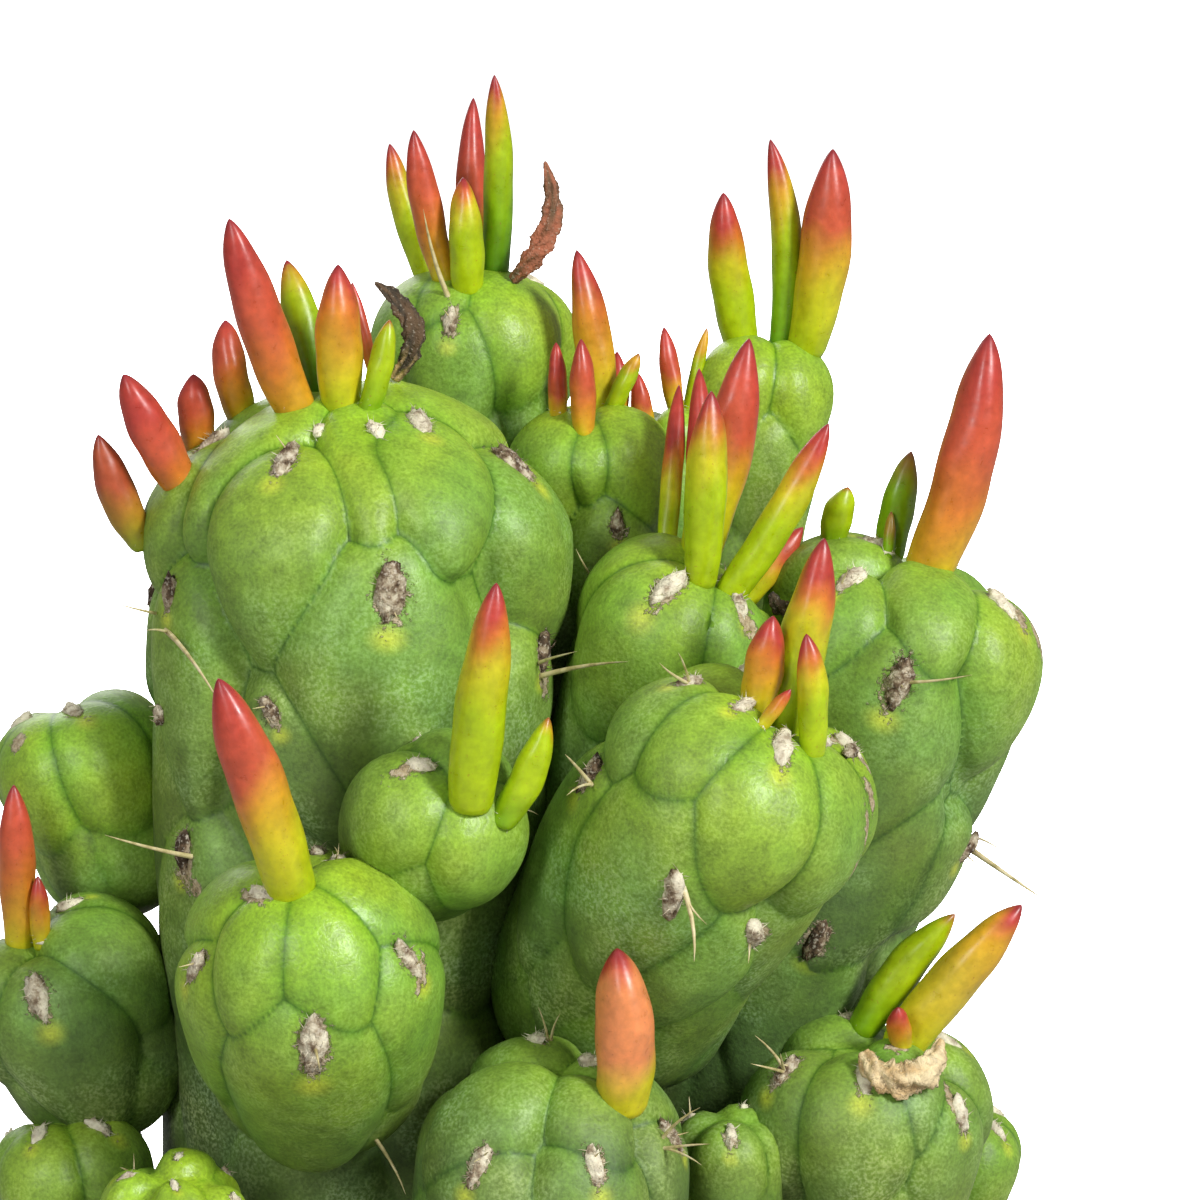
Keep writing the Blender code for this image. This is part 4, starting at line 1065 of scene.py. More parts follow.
def leaf_mesh(name, leaf, seed):
    root, bend, tip = leaf_spine(leaf)
    along = unit(tip - root)
    side = unit(np.cross((0.0, 1.0, 0.0), along))
    back = np.cross(along, side)
    turn, share = np.meshgrid(np.arange(LEAF_SECTORS) / LEAF_SECTORS * 2 * math.pi,
                              np.linspace(0, 1, LEAF_RINGS + 2)[1:-1] ** TIP_CROWDING)
    rise = (1 - share)[..., None]
    centre = (1 - rise) ** 2 * root + 2 * rise * (1 - rise) * bend + rise**2 * tip
    out = np.cos(turn)[..., None] * -back + np.sin(turn)[..., None] * side
    rings = centre + leaf_girth(leaf, turn, share, seed)[..., None] * out
    return grid_mesh(name, rings, tip, root, {"flush": leaf_colour(leaf, turn, share, seed)})


print("a tall leaf's colour at its foot:", leaf_colour(tall_leaf, 0, np.ones(1), 0)[0].round(2))

# %% Grow the leaves and buds
leaf_pieces = {}
for number, (name, leaf) in enumerate({**LEAVES, **BUDS}.items()):
    mesh = leaf_mesh(name + "_flesh", leaf, number * 1.7)
    stands_for = [name] if name in LEAVES else []
    leaf_pieces[name] = add_piece(mesh.name, mesh, SLOT_OF_FLUSH[leaf.flush], *stands_for)
print("leaf triangles:", sum(triangles(piece.data) for piece in leaf_pieces.values()))

# %% [markdown]
# ## Leaf flesh
#
# A leaf holds water, so light goes a little way into it, and its skin is smoother than the
# stem's. Glass or a thick coat would be too clean: fine dark freckles and a slight unevenness
# keep it alive.

# %% Leaf finish
LEAF_FRECKLE = (0.30, 0.05, 0.02)

leaf_finish, tree, shader = new_finish("leaf_flesh")
broad, medium, fine = noise(tree, 230), noise(tree, 800), noise(tree, 2600, 2.0)
mottle = maths(tree, "ADD", spread(tree, broad, 0.3, 0.7, 0.80, 1.04),
               spread(tree, medium, 0.3, 0.7, -0.12, 0.12))
colour = tinted(tree, mark(tree, "flush", "Color"), grey(tree, mottle))
colour = blend(tree, spread(tree, fine, 0.66, 0.74, 0.0, 0.45), colour, LEAF_FRECKLE)
tree.links.new(colour, shader.inputs["Base Color"])
tree.links.new(spread(tree, medium, 0.3, 0.7, 0.27, 0.43), shader.inputs["Roughness"])
let_light_in(shader, 0.2, (1.0, 0.6, 0.2), 1.5)
rough_up(tree, shader, [(broad, 0.10), (medium, 0.03)])
for piece in leaf_pieces.values():
    piece.data.materials.append(leaf_finish)
print("leaf nodes:", len(tree.nodes))

# %% [markdown]
# ## Felt pads
#
# Every scale has an areole near its top: a small oval of felt from which the leaf and the spines
# grow. Fresh felt is cream-white, old felt is grey with brown flakes. A pad is modelled as a
# rough little cushion set into the skin, and Geometry Nodes then plant short hairs all over the
# cushions. Hair curves would look as fine, but they don't survive as a plain mesh.

# %% Where the pads are: turn, drop, half length, half width, lean, and wear
MORE_PADS = {
    "main_stem": [(12, 12, 1.6, 1.0, 20, 0.05), (-22, 11, 1.3, 0.9, 0, 0.1), (-58, 50, 1.4, 1.0, 0, 0.6)],
    "small_front_stem": [(-122, 4.5, 1.8, 1.0, 40, 0.1)],
    "front_left_stem": [(150, 8, 1.4, 0.9, 0, 0.5), (-150, 9, 1.4, 0.9, 0, 0.5),
                        (-76, 4, 2.4, 1.0, -50, 0.05)],
    "front_foot_stem": [(124, 4, 1.5, 1.2, 0, 0.1)],
    "centre_stem": [(60, 4, 2.2, 0.8, 10, 0.1)],
    "right_stem": [(-40, 12, 1.6, 1.0, 40, 0.1)],
    "front_right_stem": [(70, 5, 2.4, 0.9, 70, 0.25), (105, 9, 3.0, 0.9, 60, 0.55),
                         (-6, 25, 3.2, 1.3, 20, 0.5), (34, 28, 2.4, 1.4, 30, 0.4)],
}
PAD_LENGTH, PAD_WIDTH = 0.40, 0.17  # half its length and width, in half widths of its scale
LEAF_PAD_LENGTH, LEAF_PAD_WIDTH, LEAF_PAD_GROWTH = 0.5, 0.4, 0.42  # and under a leaf
PADS_END = 0.86  # no pad further down than this share of a stem
OLD_PADS_FROM = 38.0  # below this drop every second pad has fallen off
WEAR_REACH = 22  # how far down a stem its felt stays fresh
Pad = namedtuple("Pad", "stem turn drop length width lean worn")


def scale_pads():
    """A pad for each scale that has one, more worn further down."""
    rows = []
    for name, stem in STEMS.items():
        for number, scale in enumerate(stem.scales):
            lost = scale.drop > OLD_PADS_FROM and number % 2 and number > stem.named
            if scale.padded and not lost and scale.drop < PADS_END * stem.skin_length:
                worn = 1 - math.exp(-scale.drop / WEAR_REACH) + 0.15 * math.sin(3.7 * number)
                rows.append(Pad(name, scale.turn, scale.drop, PAD_LENGTH * scale.half_width,
                                PAD_WIDTH * scale.half_width, scale.lean, min(max(worn, 0), 1)))
    return rows


def leaf_pads():
    """A pad of unworn felt round the foot of each leaf."""
    rows = []
    for leaf in {**LEAVES, **BUDS}.values():
        turn, drop, _ = spot_nearest(STEMS[leaf.stem], leaf.foot)
        rows.append(Pad(leaf.stem, turn, drop, LEAF_PAD_LENGTH + LEAF_PAD_GROWTH * leaf.radius,
                        LEAF_PAD_WIDTH + LEAF_PAD_GROWTH * leaf.radius, 0.0, 0.0))
    return rows


named_pads = [Pad(name, math.radians(turn), drop, length, width, math.radians(lean), worn)
              for name, turn, drop, length, width, lean, worn in by_stem(MORE_PADS)]
pads = scale_pads() + named_pads + leaf_pads()
print("felt pads:", len(pads))

# %% The cushions
PAD_SECTORS, PAD_RINGS = 12, 6
PAD_HEIGHT, PAD_BASE = 0.55, 0.25  # its half height, in half widths, and what is added to it
PAD_ROUGHNESS = 0.24
pad_dice = np.random.default_rng(11)


def axes_at(stem, turn, drop):
    """A point of a stem's skin, and unit vectors across the skin, up it and out of it."""
    at = np.array([float(turn)]), np.array([float(drop)])
    return relief(stem, *at)[0][0], *(one[0] for one in stem.directions(*at))


def cushion(pad):
    """Rings, top and bottom of one rough, closed cushion, set half into the skin."""
    centre, across, up, out = axes_at(STEMS[pad.stem], pad.turn, pad.drop)
    swing, hold = math.sin(pad.lean), math.cos(pad.lean)
    across, up = across * hold + up * swing, up * hold - across * swing
    polar, turn = np.meshgrid(np.linspace(0, math.pi, PAD_RINGS + 2)[1:-1],
                              np.arange(PAD_SECTORS) / PAD_SECTORS * 2 * math.pi, indexing="ij")
    wobble = 1 + PAD_ROUGHNESS * pad_dice.uniform(-1, 1, polar.shape)
    height = pad.width * PAD_HEIGHT + PAD_BASE
    rings = (centre + (np.sin(polar) * np.cos(turn) * wobble * pad.width)[..., None] * across
             + (np.sin(polar) * np.sin(turn) * wobble * pad.length)[..., None] * up
             + (np.cos(polar) * wobble * height)[..., None] * out)
    return rings, centre + out * height, centre - out * height


def cushion_mesh():
    """One mesh of all the cushions, with the wear of each."""
    points, faces, wear = [], [], []
    for pad in pads:
        rings, top, bottom = cushion(pad)
        faces += grid_faces(PAD_RINGS, PAD_SECTORS, first=len(points))
        points += rings.reshape(-1, 3).tolist() + [top.tolist(), bottom.tolist()]
        wear += [pad.worn] * (PAD_RINGS * PAD_SECTORS + 2)
    mesh = bpy.data.meshes.new("cushions")
    mesh.from_pydata((np.array(points) * MM).tolist(), [], faces)
    mesh.attributes.new("wear", "FLOAT", "POINT").data.foreach_set("value", wear)
    mesh.shade_smooth()
    return mesh


cushions = cushion_mesh()
print("cushion triangles:", triangles(cushions))

# %% [markdown]
# ## A small language for Geometry Nodes
#
# A node tree is built here the way one builds it by hand: add the group's inputs, add nodes,
# and link them. The helpers below make a tree with named inputs, give a finished geometry its
# material, and turn an object with that tree into a plain mesh. The tree could also stay on
# its object as a live modifier, but copies made by nodes are lost when a model is exported.

# %% Geometry Nodes helpers
def new_tree(name, inputs):
    """A geometry node group with the given inputs: name to (socket type, value)."""
    tree = bpy.data.node_groups.new(name, "GeometryNodeTree")
    tree.interface.new_socket("Geometry", in_out="INPUT", socket_type="NodeSocketGeometry")
    for label, (kind, value) in inputs.items():
        socket = tree.interface.new_socket(label, in_out="INPUT", socket_type="NodeSocket" + kind)
        if value is not None:
            socket.default_value = value
    tree.interface.new_socket("Geometry", in_out="OUTPUT", socket_type="NodeSocketGeometry")
    return tree, tree.nodes.new("NodeGroupInput").outputs, tree.nodes.new("NodeGroupOutput").inputs


def dressed(tree, geometry, material):
    """The geometry with a material."""
    return put(tree, "GeometryNodeSetMaterial", {"Geometry": geometry, "Material": material}).outputs[0]


def realized(tree, instances):
    """Instances made into a real mesh."""
    return put(tree, "GeometryNodeRealizeInstances", {"Geometry": instances}).outputs[0]


def random_vector(tree, low, high, seed):
    return put(tree, "FunctionNodeRandomValue", {0: low, 1: high, "Seed": seed},
               data_type="FLOAT_VECTOR").outputs[0]


def random_number(tree, low, high, seed):
    return put(tree, "FunctionNodeRandomValue", {2: low, 3: high, "Seed": seed},
               data_type="FLOAT").outputs[1]


def stored(tree, name):
    """A number that the mesh carries under that name."""
    return put(tree, "GeometryNodeInputNamedAttribute", {"Name": name}, data_type="FLOAT").outputs[0]


print("helpers for geometry ready")

# %% From a node tree to a plain mesh
def grown(name, mesh, tree, values):
    """The plain mesh that the tree makes from a mesh, with its inputs set by identifier."""
    carrier = bpy.data.objects.new(name, mesh)
    bpy.context.scene.collection.objects.link(carrier)
    step = carrier.modifiers.new("grow", "NODES")
    step.node_group = tree
    for item in tree.interface.items_tree:
        if item.item_type == "SOCKET" and item.in_out == "INPUT" and item.name in values:
            step[item.identifier] = values[item.name]
    bpy.context.view_layer.update()
    evaluated = carrier.evaluated_get(bpy.context.evaluated_depsgraph_get())
    made = bpy.data.meshes.new_from_object(evaluated)
    made.name = name
    carrier.modifiers.remove(step)
    bpy.data.objects.remove(carrier)
    return made


print("geometry node trees so far:", len(bpy.data.node_groups))

# %% [markdown]
# ## Felt
#
# The felt's finish runs from cream to dark brown by the wear that each cushion carries, with
# flakes of noise between, so no two pads look the same. A hair is a three-sided cone, because
# there are thousands of them. Points strewn over the cushions carry one hair each, tipped at
# random from the upright.

# %% Felt finish
FELT_WEAR = [(0.0, (0.82, 0.77, 0.58)), (0.30, (0.64, 0.58, 0.43)), (0.55, (0.38, 0.31, 0.21)),
             (0.8, (0.15, 0.10, 0.06)), (1.0, (0.06, 0.04, 0.025))]
FELT_DUST = (0.66, 0.60, 0.48)

felt, tree, shader = new_finish("areole_felt")
fine, flake = noise(tree, 1900, 2.0), noise(tree, 650, 3.0)
worn = maths(tree, "ADD", mark(tree, "wear"), spread(tree, flake, 0.34, 0.66, -0.38, 0.34))
colour = blend(tree, spread(tree, fine, 0.55, 0.65, 0.0, 0.55), ramp(tree, worn, FELT_WEAR), FELT_DUST)
tree.links.new(colour, shader.inputs["Base Color"])
shader.inputs["Roughness"].default_value = 0.95
shader.inputs["Specular IOR Level"].default_value = 0.2
rough_up(tree, shader, [(flake, 0.5), (fine, 0.2)])
print("felt nodes:", len(tree.nodes))

# %% Plant the hairs
HAIRS = 1.7e6 / FINE  # on a square metre of felt
HAIR_LENGTH, HAIR_THICKNESS = 0.0010, 0.00006  # metres
HAIR_TILT = (0.9, 0.9, 3.1)  # how far a hair may turn about each axis, in radians

tree, given, result = new_tree("felt_hairs", {
    "Density": ("Float", HAIRS), "Length": ("Float", HAIR_LENGTH), "Thickness": ("Float", HAIR_THICKNESS),
    "Seed": ("Int", 5), "Felt": ("Material", None)})
spots = put(tree, "GeometryNodeDistributePointsOnFaces", {
    "Mesh": given["Geometry"], "Density": given["Density"], "Seed": given["Seed"]})
hair = put(tree, "GeometryNodeMeshCone", {
    "Vertices": 3, "Radius Bottom": given["Thickness"], "Depth": given["Length"]},
    fill_type="TRIANGLE_FAN")
tilt = random_vector(tree, [-most for most in HAIR_TILT], HAIR_TILT, given["Seed"])
turned = put(tree, "FunctionNodeRotateRotation", {
    "Rotation": spots.outputs["Rotation"], "Rotate By": tilt}, rotation_space="LOCAL")
planted = put(tree, "GeometryNodeInstanceOnPoints", {
    "Points": spots.outputs["Points"], "Instance": hair.outputs["Mesh"],
    "Rotation": turned.outputs[0], "Scale": random_number(tree, 0.5, 1.3, given["Seed"])})
both = put(tree, "GeometryNodeJoinGeometry", {})
tree.links.new(realized(tree, planted.outputs[0]), both.inputs[0])
tree.links.new(given["Geometry"], both.inputs[0])
tree.links.new(dressed(tree, both.outputs[0], given["Felt"]), result["Geometry"])

felt_mesh = grown("areole_felt", cushions, tree, {
    "Density": HAIRS, "Length": HAIR_LENGTH, "Thickness": HAIR_THICKNESS, "Seed": 5, "Felt": felt})
add_piece("areole_felt", felt_mesh, "felt")
print("felt triangles:", triangles(felt_mesh))

# %% [markdown]
# ## Spines
#
# Spines are hard, straw-coloured needles. Each one is drawn as a bent line with a thickness
# that runs out at its point, and a node tree sweeps a small circle along the lines. A cone for
# each would be quicker to make, but it couldn't bend.

# %% The long spines: foot, tip and thickness
SPINES = {
    "main_stem": [
        ((2.6, -9.5, 198), (13.4, -19, 201.4), 0.40), ((2.9, -9.5, 199.5), (7.2, -16, 202), 0.26),
        ((-43.5, -14, 203), (-35.4, -27, 197.9), 0.36), ((-43, -16, 177), (-50, -24, 181), 0.36),
        ((-43.5, -14, 203), (-44.8, -20, 205.5), 0.22), ((-46, -10, 205), (-49, -16, 208), 0.22)],
    "right_stem": [
        ((56.5, -1, 173), (65.5, -6, 168), 0.40), ((56.5, 1, 174), (60.5, -2, 173.2), 0.2),
        ((46.5, -15.5, 198), (55, -21, 200.2), 0.26)],
    "front_right_stem": [
        ((8.5, -34, 190), (5.9, -40, 195), 0.28), ((8.5, -34, 190), (6.1, -41, 190.3), 0.22),
        ((20, -42, 180), (21, -47, 171.8), 0.40), ((20, -42, 180), (22.5, -46, 176), 0.22),
        ((20.5, -31, 202.5), (17, -38, 205.5), 0.24), ((20.5, -31, 202.5), (19.2, -37, 206.5), 0.2)],
    "front_left_stem": [
        ((-23, -49, 163), (-22.5, -54, 160.8), 0.26),
        ((-17.2, -31.2, 144.6), (-13.4, -36.5, 139.6), 0.26)],
    "front_foot_stem": [
        ((3.5, -31, 157.6), (2.6, -33, 162), 0.2), ((4, -31, 157.6), (5.2, -34, 161.5), 0.2),
        ((18.5, -41, 148.5), (21.8, -45, 153.3), 0.24), ((18.5, -41, 148), (23, -45, 148.8), 0.24),
        ((18.5, -41, 148), (22, -46, 146.5), 0.2)],
    "right_foot_stem": [
        ((32.7, -20, 149.7), (28.9, -25, 156), 0.26), ((32.7, -20, 149.7), (28.4, -25, 152.4), 0.26),
        ((32.7, -20, 149.7), (32, -26, 154), 0.22)],
    "top_back_stem": [((-9.2, 28, 239), (-12.6, 24, 251), 0.36)],
    "centre_stem": [((9.5, 4, 206), (7, 0, 211.5), 0.22), ((9.5, 4, 206), (10.4, -2, 210.5), 0.2)],
}
print("long spines:", len(by_stem(SPINES)))

# %% Lines for all spines
SHORT_SPINES = 0.75  # how many short spines a worn pad has on average
WORN_ENOUGH = 0.25  # pads less worn than this have none
SHORT_FROM, SHORT_TO, SHORT_THICKNESS = 1.2, 3.4, 0.16
SPINE_STEPS = 6
SPINE_SUNK, SPINE_POINT = 0.5, 0.02  # how deep it is set in, and how thick its point is
SPINE_SAG = 0.035  # how far a spine bends, as a share of its length
spine_dice = np.random.default_rng(23)


def short_spines(pad):
    """Foot, tip and thickness of a pad's short spines."""
    lines = []
    for _ in range(spine_dice.poisson(SHORT_SPINES) if pad.worn > WORN_ENOUGH else 0):
        drop = pad.drop + spine_dice.uniform(-0.6, 0.6) * pad.length
        start, across, up, out = axes_at(STEMS[pad.stem], pad.turn, drop)
        way = out + spine_dice.uniform(-0.8, 0.8) * across + spine_dice.uniform(-0.9, 0.9) * up
        length = spine_dice.uniform(SHORT_FROM, SHORT_TO)
        lines.append((start, start + unit(way) * length, SHORT_THICKNESS))
    return lines


def line_mesh(lines):
    """A mesh of bent lines with a thickness at each point."""
    points, edges, thickness = [], [], []
    for start, tip, thick in lines:
        sag = spine_dice.normal(0, SPINE_SAG, 3) * np.linalg.norm(tip - start)
        root = start - unit(tip - start) * SPINE_SUNK
        share = np.linspace(0, 1, SPINE_STEPS)[:, None]
        first = len(points)
        points += (root + (tip - root) * share + sag * 4 * share * (1 - share)).tolist()
        thickness += ((thick * (1 - share[:, 0]) ** 0.7 + SPINE_POINT) * MM).tolist()
        edges += [(first + step, first + step + 1) for step in range(SPINE_STEPS - 1)]
    mesh = bpy.data.meshes.new("spine_lines")
    mesh.from_pydata((np.array(points) * MM).tolist(), edges, [])
    mesh.attributes.new("thickness", "FLOAT", "POINT").data.foreach_set("value", thickness)
    return mesh


spine_lines = [(spot_nearest(STEMS[name], foot)[2], np.array(tip, float), thickness)
               for name, foot, tip, thickness in by_stem(SPINES)]
for pad in pads:
    spine_lines += short_spines(pad)
spine_mesh = line_mesh(spine_lines)
print("spines:", len(spine_lines))

# %% Spine finish
STRAWS = [(0.3, (0.36, 0.30, 0.12)), (0.5, (0.62, 0.52, 0.27)), (0.75, (0.74, 0.66, 0.44))]

straw, tree, shader = new_finish("spine_straw")
tree.links.new(ramp(tree, noise(tree, 700, 2.0), STRAWS), shader.inputs["Base Color"])
shader.inputs["Roughness"].default_value = 0.45
print("straw nodes:", len(tree.nodes))

# %% Sweep the spines
SPINE_SIDES = 6

tree, given, result = new_tree("spine_sweep", {
    "Sides": ("Int", SPINE_SIDES), "Straw": ("Material", None)})
lines = put(tree, "GeometryNodeMeshToCurve", {"Mesh": given["Geometry"]})
circle = put(tree, "GeometryNodeCurvePrimitiveCircle", {"Resolution": given["Sides"], "Radius": 1.0})
swept = put(tree, "GeometryNodeCurveToMesh", {
    "Curve": lines.outputs[0], "Profile Curve": circle.outputs[0],
    "Scale": stored(tree, "thickness"), "Fill Caps": True})
real = realized(tree, swept.outputs[0])
tree.links.new(dressed(tree, real, given["Straw"]), result["Geometry"])
spines = grown("spines", spine_mesh, tree, {"Sides": SPINE_SIDES, "Straw": straw})
add_piece("spines", spines, "felt")
print("spine triangles:", triangles(spines))

# %% [markdown]
# ## Withered leaves
#
# A leaf that dries curls up and clings to its pad for a while. Crumpled cloth could be simulated
# for it, but it is a few millimetres long. So each one here is a flattened tube swept along a
# curled path, pinched and wrinkled by waves and a little seeded noise.

# %% Withered leaf shape
CURL_SECTORS, CURL_RINGS = 28, 72
CURL_FACES = (0.25, -0.9, 0.35)  # the way that the flat side of a withered leaf faces
CURL_END, CURL_POWER = 0.08, 0.75  # how wide it begins, and how soon it is at its widest
CUPPING = 0.45  # how hollow its flat side gets, as a share of its width
CRUMPLE = 0.12


def smooth_path(points, count):
    """A smooth curve through the points (Catmull-Rom), sampled evenly in its parameter."""
    points = np.array(points, float)
    points = np.concatenate([[2 * points[0] - points[1]], points, [2 * points[-1] - points[-2]]])
    place = np.linspace(0, len(points) - 3, count)
    piece = np.minimum(place.astype(int), len(points) - 4)
    share = (place - piece)[:, None]
    a, b, c, d = (points[piece + step] for step in range(4))
    return 0.5 * (2 * b + (c - a) * share + (2 * a - 5 * b + 4 * c - d) * share**2
                  + (3 * b - a - 3 * c + d) * share**3)


def wrinkles(turn, share, seed):
    """How far each point is pushed out or in, about 1."""
    wrinkle = 1 + 0.16 * np.sin(5 * turn + 7 * share + seed) + 0.12 * np.sin(31 * share + 2 * turn)
    wrinkle = wrinkle + 0.10 * np.sin(17 * share + 3 * turn + 2 * seed)
    crumple = np.random.default_rng(int(10 * seed) + 3).uniform(-CRUMPLE, CRUMPLE, turn.shape)
    return wrinkle + crumple + 0.12 * np.sin(53 * share + 5 * turn + seed)


def withered_mesh(name, path, width, thickness, colours, seed):
    """A curled, flattened tube; colours run from its first point to its last."""
    centre = smooth_path(path, CURL_RINGS + 2)
    along = unit(np.gradient(centre, axis=0))
    side = unit(np.cross(along, CURL_FACES))
    over = np.cross(side, along)
    turn, share = np.meshgrid(np.arange(CURL_SECTORS) / CURL_SECTORS * 2 * math.pi,
                              np.linspace(0, 1, CURL_RINGS + 2)[1:-1])
    taper = np.sin(math.pi * np.clip(CURL_END + 0.9 * share, 0, 1)) ** CURL_POWER
    wrinkle = wrinkles(turn, share, seed)
    cup = CUPPING * width * np.cos(turn) ** 2 * np.sin(2.2 * share + seed)
    rings = (centre[1:-1, None]
             + (width * taper * wrinkle * np.cos(turn))[..., None] * side[1:-1, None]
             + (thickness * taper * wrinkle * np.sin(turn) + cup * taper)[..., None] * over[1:-1, None])
    colours = np.array(colours)
    mixed = share + 0.12 * np.sin(4 * turn + 9 * share + seed)
    colour = np.stack([np.interp(mixed, np.linspace(0, 1, len(colours)), colours[:, one])
                       for one in range(3)] + [np.ones(share.shape)], axis=-1)
    return grid_mesh(name, rings, centre[0], centre[-1], {"flush": colour})


print("points on a test path:", len(smooth_path([(0, 0, 0), (0, 1, 1), (0, 1, 2)], 9)))

# %% The withered leaves: path, half width, half thickness and colours
BLACK, BROWN, RUST = (0.030, 0.026, 0.016), (0.13, 0.075, 0.035), (0.40, 0.13, 0.065)
TAN, CREAM = (0.60, 0.40, 0.18), (0.84, 0.68, 0.40)
WITHERED = {
    "withered_main": (
        [(-15.6, 1, 232.6), (-13.6, 0, 236), (-13.2, 0, 239.6), (-15.2, 1, 242.6), (-17.9, 2, 244.8)],
        1.25, 0.7, [TAN, BLACK, BROWN, BLACK, BROWN]),
    "withered_top": (
        [(-1.4, 30, 240.8), (0.9, 29, 243.6), (3.2, 29, 247.2), (3.9, 30, 251.8), (2.9, 31, 256.4)],
        1.35, 0.9, [BROWN, RUST, RUST, BROWN, RUST]),
    "withered_foot": (
        [(42.3, -23.6, 153.6), (43.8, -25.8, 151.8), (46.4, -26.6, 151.0), (49.2, -26.2, 151.4),
         (51.2, -24.4, 152.8), (51.8, -22.2, 154.8)],
        2.0, 1.2, [TAN, CREAM, TAN, CREAM, CREAM, TAN]),
    "withered_right": (
        [(31.2, -1.5, 206.2), (32.6, -1.2, 204.2), (35.4, 0.4, 203.6), (38.2, 2.6, 203.4)],
        1.0, 0.6, [BLACK, BROWN, BLACK]),
    "withered_back": (
        [(20, 55, 178.5), (18.4, 57.5, 182.5), (19.4, 61, 186), (21.8, 62.5, 188)],
        1.2, 0.7, [BROWN, TAN, BROWN]),
}
WITHERED_DARK, WITHERED_DUST = (0.12, 0.075, 0.04), (0.62, 0.56, 0.44)

withered_finish, tree, shader = new_finish("withered_leaf")
broad, fine = noise(tree, 900, 4.0), noise(tree, 2600, 2.0)
colour = blend(tree, spread(tree, broad, 0.42, 0.75, 0.0, 0.5), mark(tree, "flush", "Color"),
               WITHERED_DARK)
colour = blend(tree, spread(tree, fine, 0.6, 0.7, 0.0, 0.35), colour, WITHERED_DUST)
tree.links.new(colour, shader.inputs["Base Color"])
shader.inputs["Roughness"].default_value = 0.85
rough_up(tree, shader, [(broad, 0.6), (fine, 0.2)])
for number, (name, row) in enumerate(WITHERED.items()):
    piece = add_piece(name, withered_mesh(name, *row, 1.9 * number), "dry_leaf")
    piece.data.materials.append(withered_finish)
print("withered leaves:", len(WITHERED))

# %% [markdown]
# ## The pot
#
# A plain clay pot is thrown on a wheel, so it is turned here too: one profile is swept round
# the axis. A Screw modifier would do that as well, but points made in code can carry the faint
# rings that fingers leave in the clay, and be a little out of round. The solid has few sides
# and flat chamfers. This one has many more sides, and each corner of its profile is rounded.

# %% Pot sizes, in millimetres, as in the solid
RIM_RADIUS, RIM_HEIGHT, RIM_BAND, RIM_STEP = 80.0, 100.0, 24.0, 4.0
FOOT_RADIUS, WALL, POT_FLOOR, DRAIN_RADIUS = 54.0, 6.0, 8.0, 8.0
BAND_FOOT = RIM_HEIGHT - RIM_BAND
POT_CORNERS = [  # radius, height, and how much the corner is rounded
    (RIM_RADIUS - WALL, RIM_HEIGHT, 2.0), (RIM_RADIUS, RIM_HEIGHT, 2.2),
    (RIM_RADIUS - 1.4, BAND_FOOT, 1.8), (RIM_RADIUS - RIM_STEP - 1.5, BAND_FOOT - 0.4, 1.5),
    (FOOT_RADIUS, 0, 2.2), (DRAIN_RADIUS, 0, 0.8), (DRAIN_RADIUS, POT_FLOOR, 0.8),
    (FOOT_RADIUS - WALL - 2, POT_FLOOR, 4.0), (RIM_RADIUS - 1.5 * WALL, BAND_FOOT, 2.0),
]
CORNER_STEPS, WALL_STEP = 5, 4.0


def rounded_profile(corners):
    """The closed outline with each corner replaced by a small curve, and long runs divided."""
    points = []
    for number, (radius, height, rounding) in enumerate(corners):
        here = np.array((radius, height))
        neighbours = corners[number - 1], corners[(number + 1) % len(corners)]
        ends = [np.array(corner[:2]) for corner in neighbours]
        one, other = (here + unit(end - here) * min(rounding, np.linalg.norm(end - here) / 2.2)
                      for end in ends)
        for share in np.linspace(0, 1, CORNER_STEPS):
            points.append((1 - share) ** 2 * one + 2 * share * (1 - share) * here + share**2 * other)
    finished = []
    for one, other in zip(points, points[1:] + points[:1]):
        pieces = max(1, round(np.linalg.norm(other - one) / WALL_STEP))
        finished += [one + (other - one) * step / pieces for step in range(pieces)]
    return np.array(finished)


print("points in the pot's profile:", len(rounded_profile(POT_CORNERS)))

# %% Throw the pot
POT_STEPS = 160  # sides
THROWN = ((0.06, 1.9, 0.0), (0.05, 0.83, 1.0))  # throwing rings: depth, radians a millimetre, and shift
THROWN_INWARD = 0.11  # keeps the rings inside the pot's size
PLAIN_ROUND_DRAIN, RINGS_BEGIN = 4, 6  # no rings so near to the drain hole, then they begin
OUT_OF_ROUND = 0.0012


def pot_mesh():
    profile = rounded_profile(POT_CORNERS)
    radius, height = profile[:, 0], profile[:, 1]
    turn = np.arange(POT_STEPS) / POT_STEPS * 2 * math.pi
    outside = smooth_step((radius - DRAIN_RADIUS - PLAIN_ROUND_DRAIN) / RINGS_BEGIN)
    rings = sum(size * np.sin(height * waves + shift) for size, waves, shift in THROWN)
    radius = radius + (rings - THROWN_INWARD) * outside
    wobble = 1 - OUT_OF_ROUND * (1 + np.sin(3 * turn + 0.6))
    points = np.stack([
        np.outer(radius, np.cos(turn) * wobble), np.outer(radius, np.sin(turn) * wobble),
        np.repeat(height[:, None], POT_STEPS, 1)], axis=-1)
    index = np.arange(len(profile) * POT_STEPS).reshape(-1, POT_STEPS)
    below, after = np.roll(index, -1, axis=0), np.roll(index, -1, axis=1)
    faces = np.stack([index, below, np.roll(below, -1, axis=1), after], axis=-1).reshape(-1, 4)
    mesh = bpy.data.meshes.new("clay_pot")
    mesh.from_pydata((points.reshape(-1, 3) * MM).tolist(), [], faces.tolist())
    mesh.shade_smooth()
    return mesh


pot = add_piece("clay_pot", pot_mesh(), "pot", "pot")
print("pot triangles:", triangles(pot.data))

